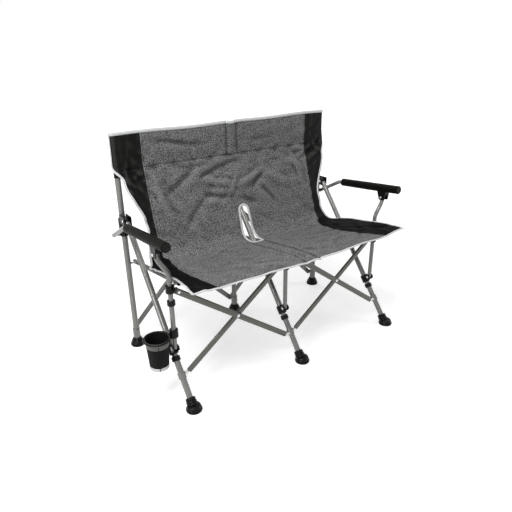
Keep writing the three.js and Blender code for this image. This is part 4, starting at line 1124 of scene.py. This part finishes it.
FORWARD, STRAIGHT_STEPS, OVER_EDGE = -BACK, 30, 0.5
tapes = {"back": [], "seat": []}
s_back, s_seat = np.linspace(0, BACK_LONG, 150), np.linspace(0, SEAT_LONG, 140)
for label, way in (("left", -1), ("right", 1)):
    x = way * (back_edge(s_back, way) + OVER_EDGE)
    normal = cloth_normal(back_point, x, s_back, -way)
    binding("back", f"back {label} edge tape", back_point(x, s_back), normal)
    x = way * (seat_edge(s_seat, way) + OVER_EDGE)
    binding("seat", f"seat {label} edge tape", seat_point(x, s_seat), UP)
x = np.linspace(-1, 1, 240)
binding("back", "back top edge tape", back_point(x * back_edge(0.0, np.sign(x)), 0.5), FORWARD, 12.5, 6.0)
binding("seat", "seat front edge tape", seat_point(x * seat_edge(SEAT_LONG, np.sign(x)), SEAT_LONG - 1.0), UP, 8.0, 4.6)
half_turn = np.linspace(0, np.pi, 40)
arch_x = SLOT_HALF * np.concatenate([[-1] * STRAIGHT_STEPS, -np.cos(half_turn), [1] * STRAIGHT_STEPS])
arch_s = SLOT_START + SLOT_HALF - slot_run(SLOT_HALF + SLOT_START - BACK_LONG)
bow_s = SLOT_END - SLOT_HALF + slot_run(SLOT_HALF - SLOT_END)
for group, s, spread, normal in (("back", arch_s, back_spread, [0, -1, 0.28]), ("seat", bow_s, seat_spread, UP)):
    path = cloths[group]["surface"](SLOT_MIDDLE + arch_x * spread(s), s)
    binding(group, "slot tape " + group, path, normal, 10.0, 4.2)

SLEEVE = [[11.25, 722], [12.0, 722.4], [12.1, 723.2], [12.1, 867.5],
          [11.6, 870.5], [9.5, 872.4], [5.0, 873.3], [0.6, 873.4]]
EASE = 1.01
sleeves = [spin(side + " upright sleeve", SLEEVE, at(side), UP, base_of(side), cup_black, "fabric", sides=36)
           for side in SIDES]
attached = {"back": tapes["back"] + sleeves, "seat": tapes["seat"]}
for group, cloth in cloths.items():
    for index, sheet in enumerate(sheets[group]):
        across = np.ptp([v.co[0] for v in sheet.data.vertices])
        wide, long = across * EASE, cloth["long"] / 1000.0 * EASE
        min(sheet["cut_area"], wide * long)
        attached[group] if index == 0 else []
    for piece in sheets[group] + tapes[group]:
        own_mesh(piece)
print("tapes:", sum(len(group) for group in tapes.values()))

# %% [markdown]
# ## Floor, light and camera
# The floor and the backdrop are one white, and the floor keeps the soft shadow. What the
# camera, a mirror or a glass sees is the white room; the cloth and the tubes are lit by a
# dimmer room and four soft lamps, so that their sides turn dark as they do in a studio.
# The camera stands where the photograph's did: its place, turn and focal length come from
# a fit to the feet, tubes and cloth corners.

# %% Floor and backdrop
AMBIENT, FLOOR_HALF, FLOOR_Z = 0.27, 9000, -0.4


def seen(finish):
    """1 for rays from the camera and for reflected or transmitted ones, 0 for the light that falls on the object."""
    camera_ray, glossy, through = [
        finish.node("ShaderNodeLightPath", output=f"Is {kind} Ray") for kind in ("Camera", "Glossy", "Transmission")]
    return finish.node("ShaderNodeMath", {"operation": "ADD", "use_clamp": True}, {0: camera_ray + glossy, 1: through})


def floor_finish():
    """A matte floor. Where it is seen it also glows, more with its distance, and meets the backdrop without a line."""
    finish = Finish("pale floor")
    place = finish.place()
    grain = finish.between(finish.noise(place, 900.0, 2.0), (0.80, 0.80, 0.80), (0.84, 0.84, 0.84))
    far = finish.steps(finish.node("ShaderNodeVectorMath", {"operation": "LENGTH"}, {0: place}, output=1), 1.3, 3.2)
    glow = finish.node("ShaderNodeBsdfPrincipled", inputs={
        "Base Color": grain, "Roughness": 0.9, "Emission Strength": 1.0,
        "Emission Color": finish.between(far, (0.5, 0.5, 0.5), (1.0, 1.0, 1.0))})
    finish.look(grain, 0.9)
    matte = Field(finish, finish.shader.outputs[0])
    both = finish.node("ShaderNodeMixShader", inputs={0: seen(finish), 1: matte, 2: glow})
    finish.feed(finish.out.inputs["Surface"], both)
    return finish.material


class Room(Finish):
    """The world as a finish: it has a node tree of its own and no surface shader."""

    def __init__(self, name):
        self.world = bpy.data.worlds.new(name)
        self.world.use_nodes = True
        self.tree = self.world.node_tree


corners = [[x * FLOOR_HALF, y * FLOOR_HALF, FLOOR_Z] for x, y in ((-1, -1), (1, -1), (1, 1), (-1, 1))]
ground = mesh_object("floor", corners, [(0, 1, 2, 3)])
ground.data.materials.append(floor_finish())

room = Room("soft white room")
backdrop = room.tree.nodes["Background"]
room.feed(backdrop.inputs["Color"], (1.0, 1.0, 1.0))
room.feed(backdrop.inputs["Strength"], seen(room) * (1.0 - AMBIENT) + AMBIENT)
bpy.context.scene.world = room.world
print("light that falls on the object from all round:", AMBIENT)

# %% Lamps
def lamp(name, place, target, size, power):
    """A square soft light at place that looks at target."""
    data = bpy.data.lights.new(name, "AREA")
    data.size, data.energy = size, power
    thing = in_scene(name, data)
    thing.location = place
    thing.rotation_euler = (Vector(target) - Vector(place)).to_track_quat("-Z", "Y").to_euler()


lamp("large top window", (-1.5, -1.1, 3.1), (0, -0.2, 0.4), 1.3, 72)
lamp("left strip", (-2.7, -1.3, 1.5), (0, -0.2, 0.5), 0.7, 18)
lamp("right fill", (2.6, -1.2, 1.9), (0, -0.2, 0.5), 1.0, 15)
lamp("back rim", (0.3, 2.2, 2.6), (0, 0, 0.5), 1.2, 20)

# %% Camera
AZIMUTH, ELEVATION, ROLLED = (math.radians(degrees) for degrees in (-34.813, 23.546, -0.513))
STAND, FOCAL_PIXELS, PHOTO_PIXELS, SENSOR = (-1.0729, -1.7273, 1.166), 484.33, 512.0, 36.0
camera = in_scene("view", bpy.data.cameras.new("view"))
level_part = math.cos(ELEVATION)
forward = Vector((-math.sin(AZIMUTH) * level_part, math.cos(AZIMUTH) * level_part, -math.sin(ELEVATION)))
level = forward.cross(Vector((0, 0, 1))).normalized()
above = level.cross(forward)
right_way = math.cos(ROLLED) * level + math.sin(ROLLED) * above
up_way = math.cos(ROLLED) * above - math.sin(ROLLED) * level
camera.matrix_world = Matrix((right_way, up_way, -forward)).transposed().to_4x4()
camera.location = STAND
camera.data.sensor_width, camera.data.lens, camera.data.clip_end = SENSOR, SENSOR * FOCAL_PIXELS / PHOTO_PIXELS, 40.0
bpy.context.scene.camera = camera
bpy.context.scene.view_settings.view_transform = "Standard"
print("lens:", round(camera.data.lens, 2), "mm")
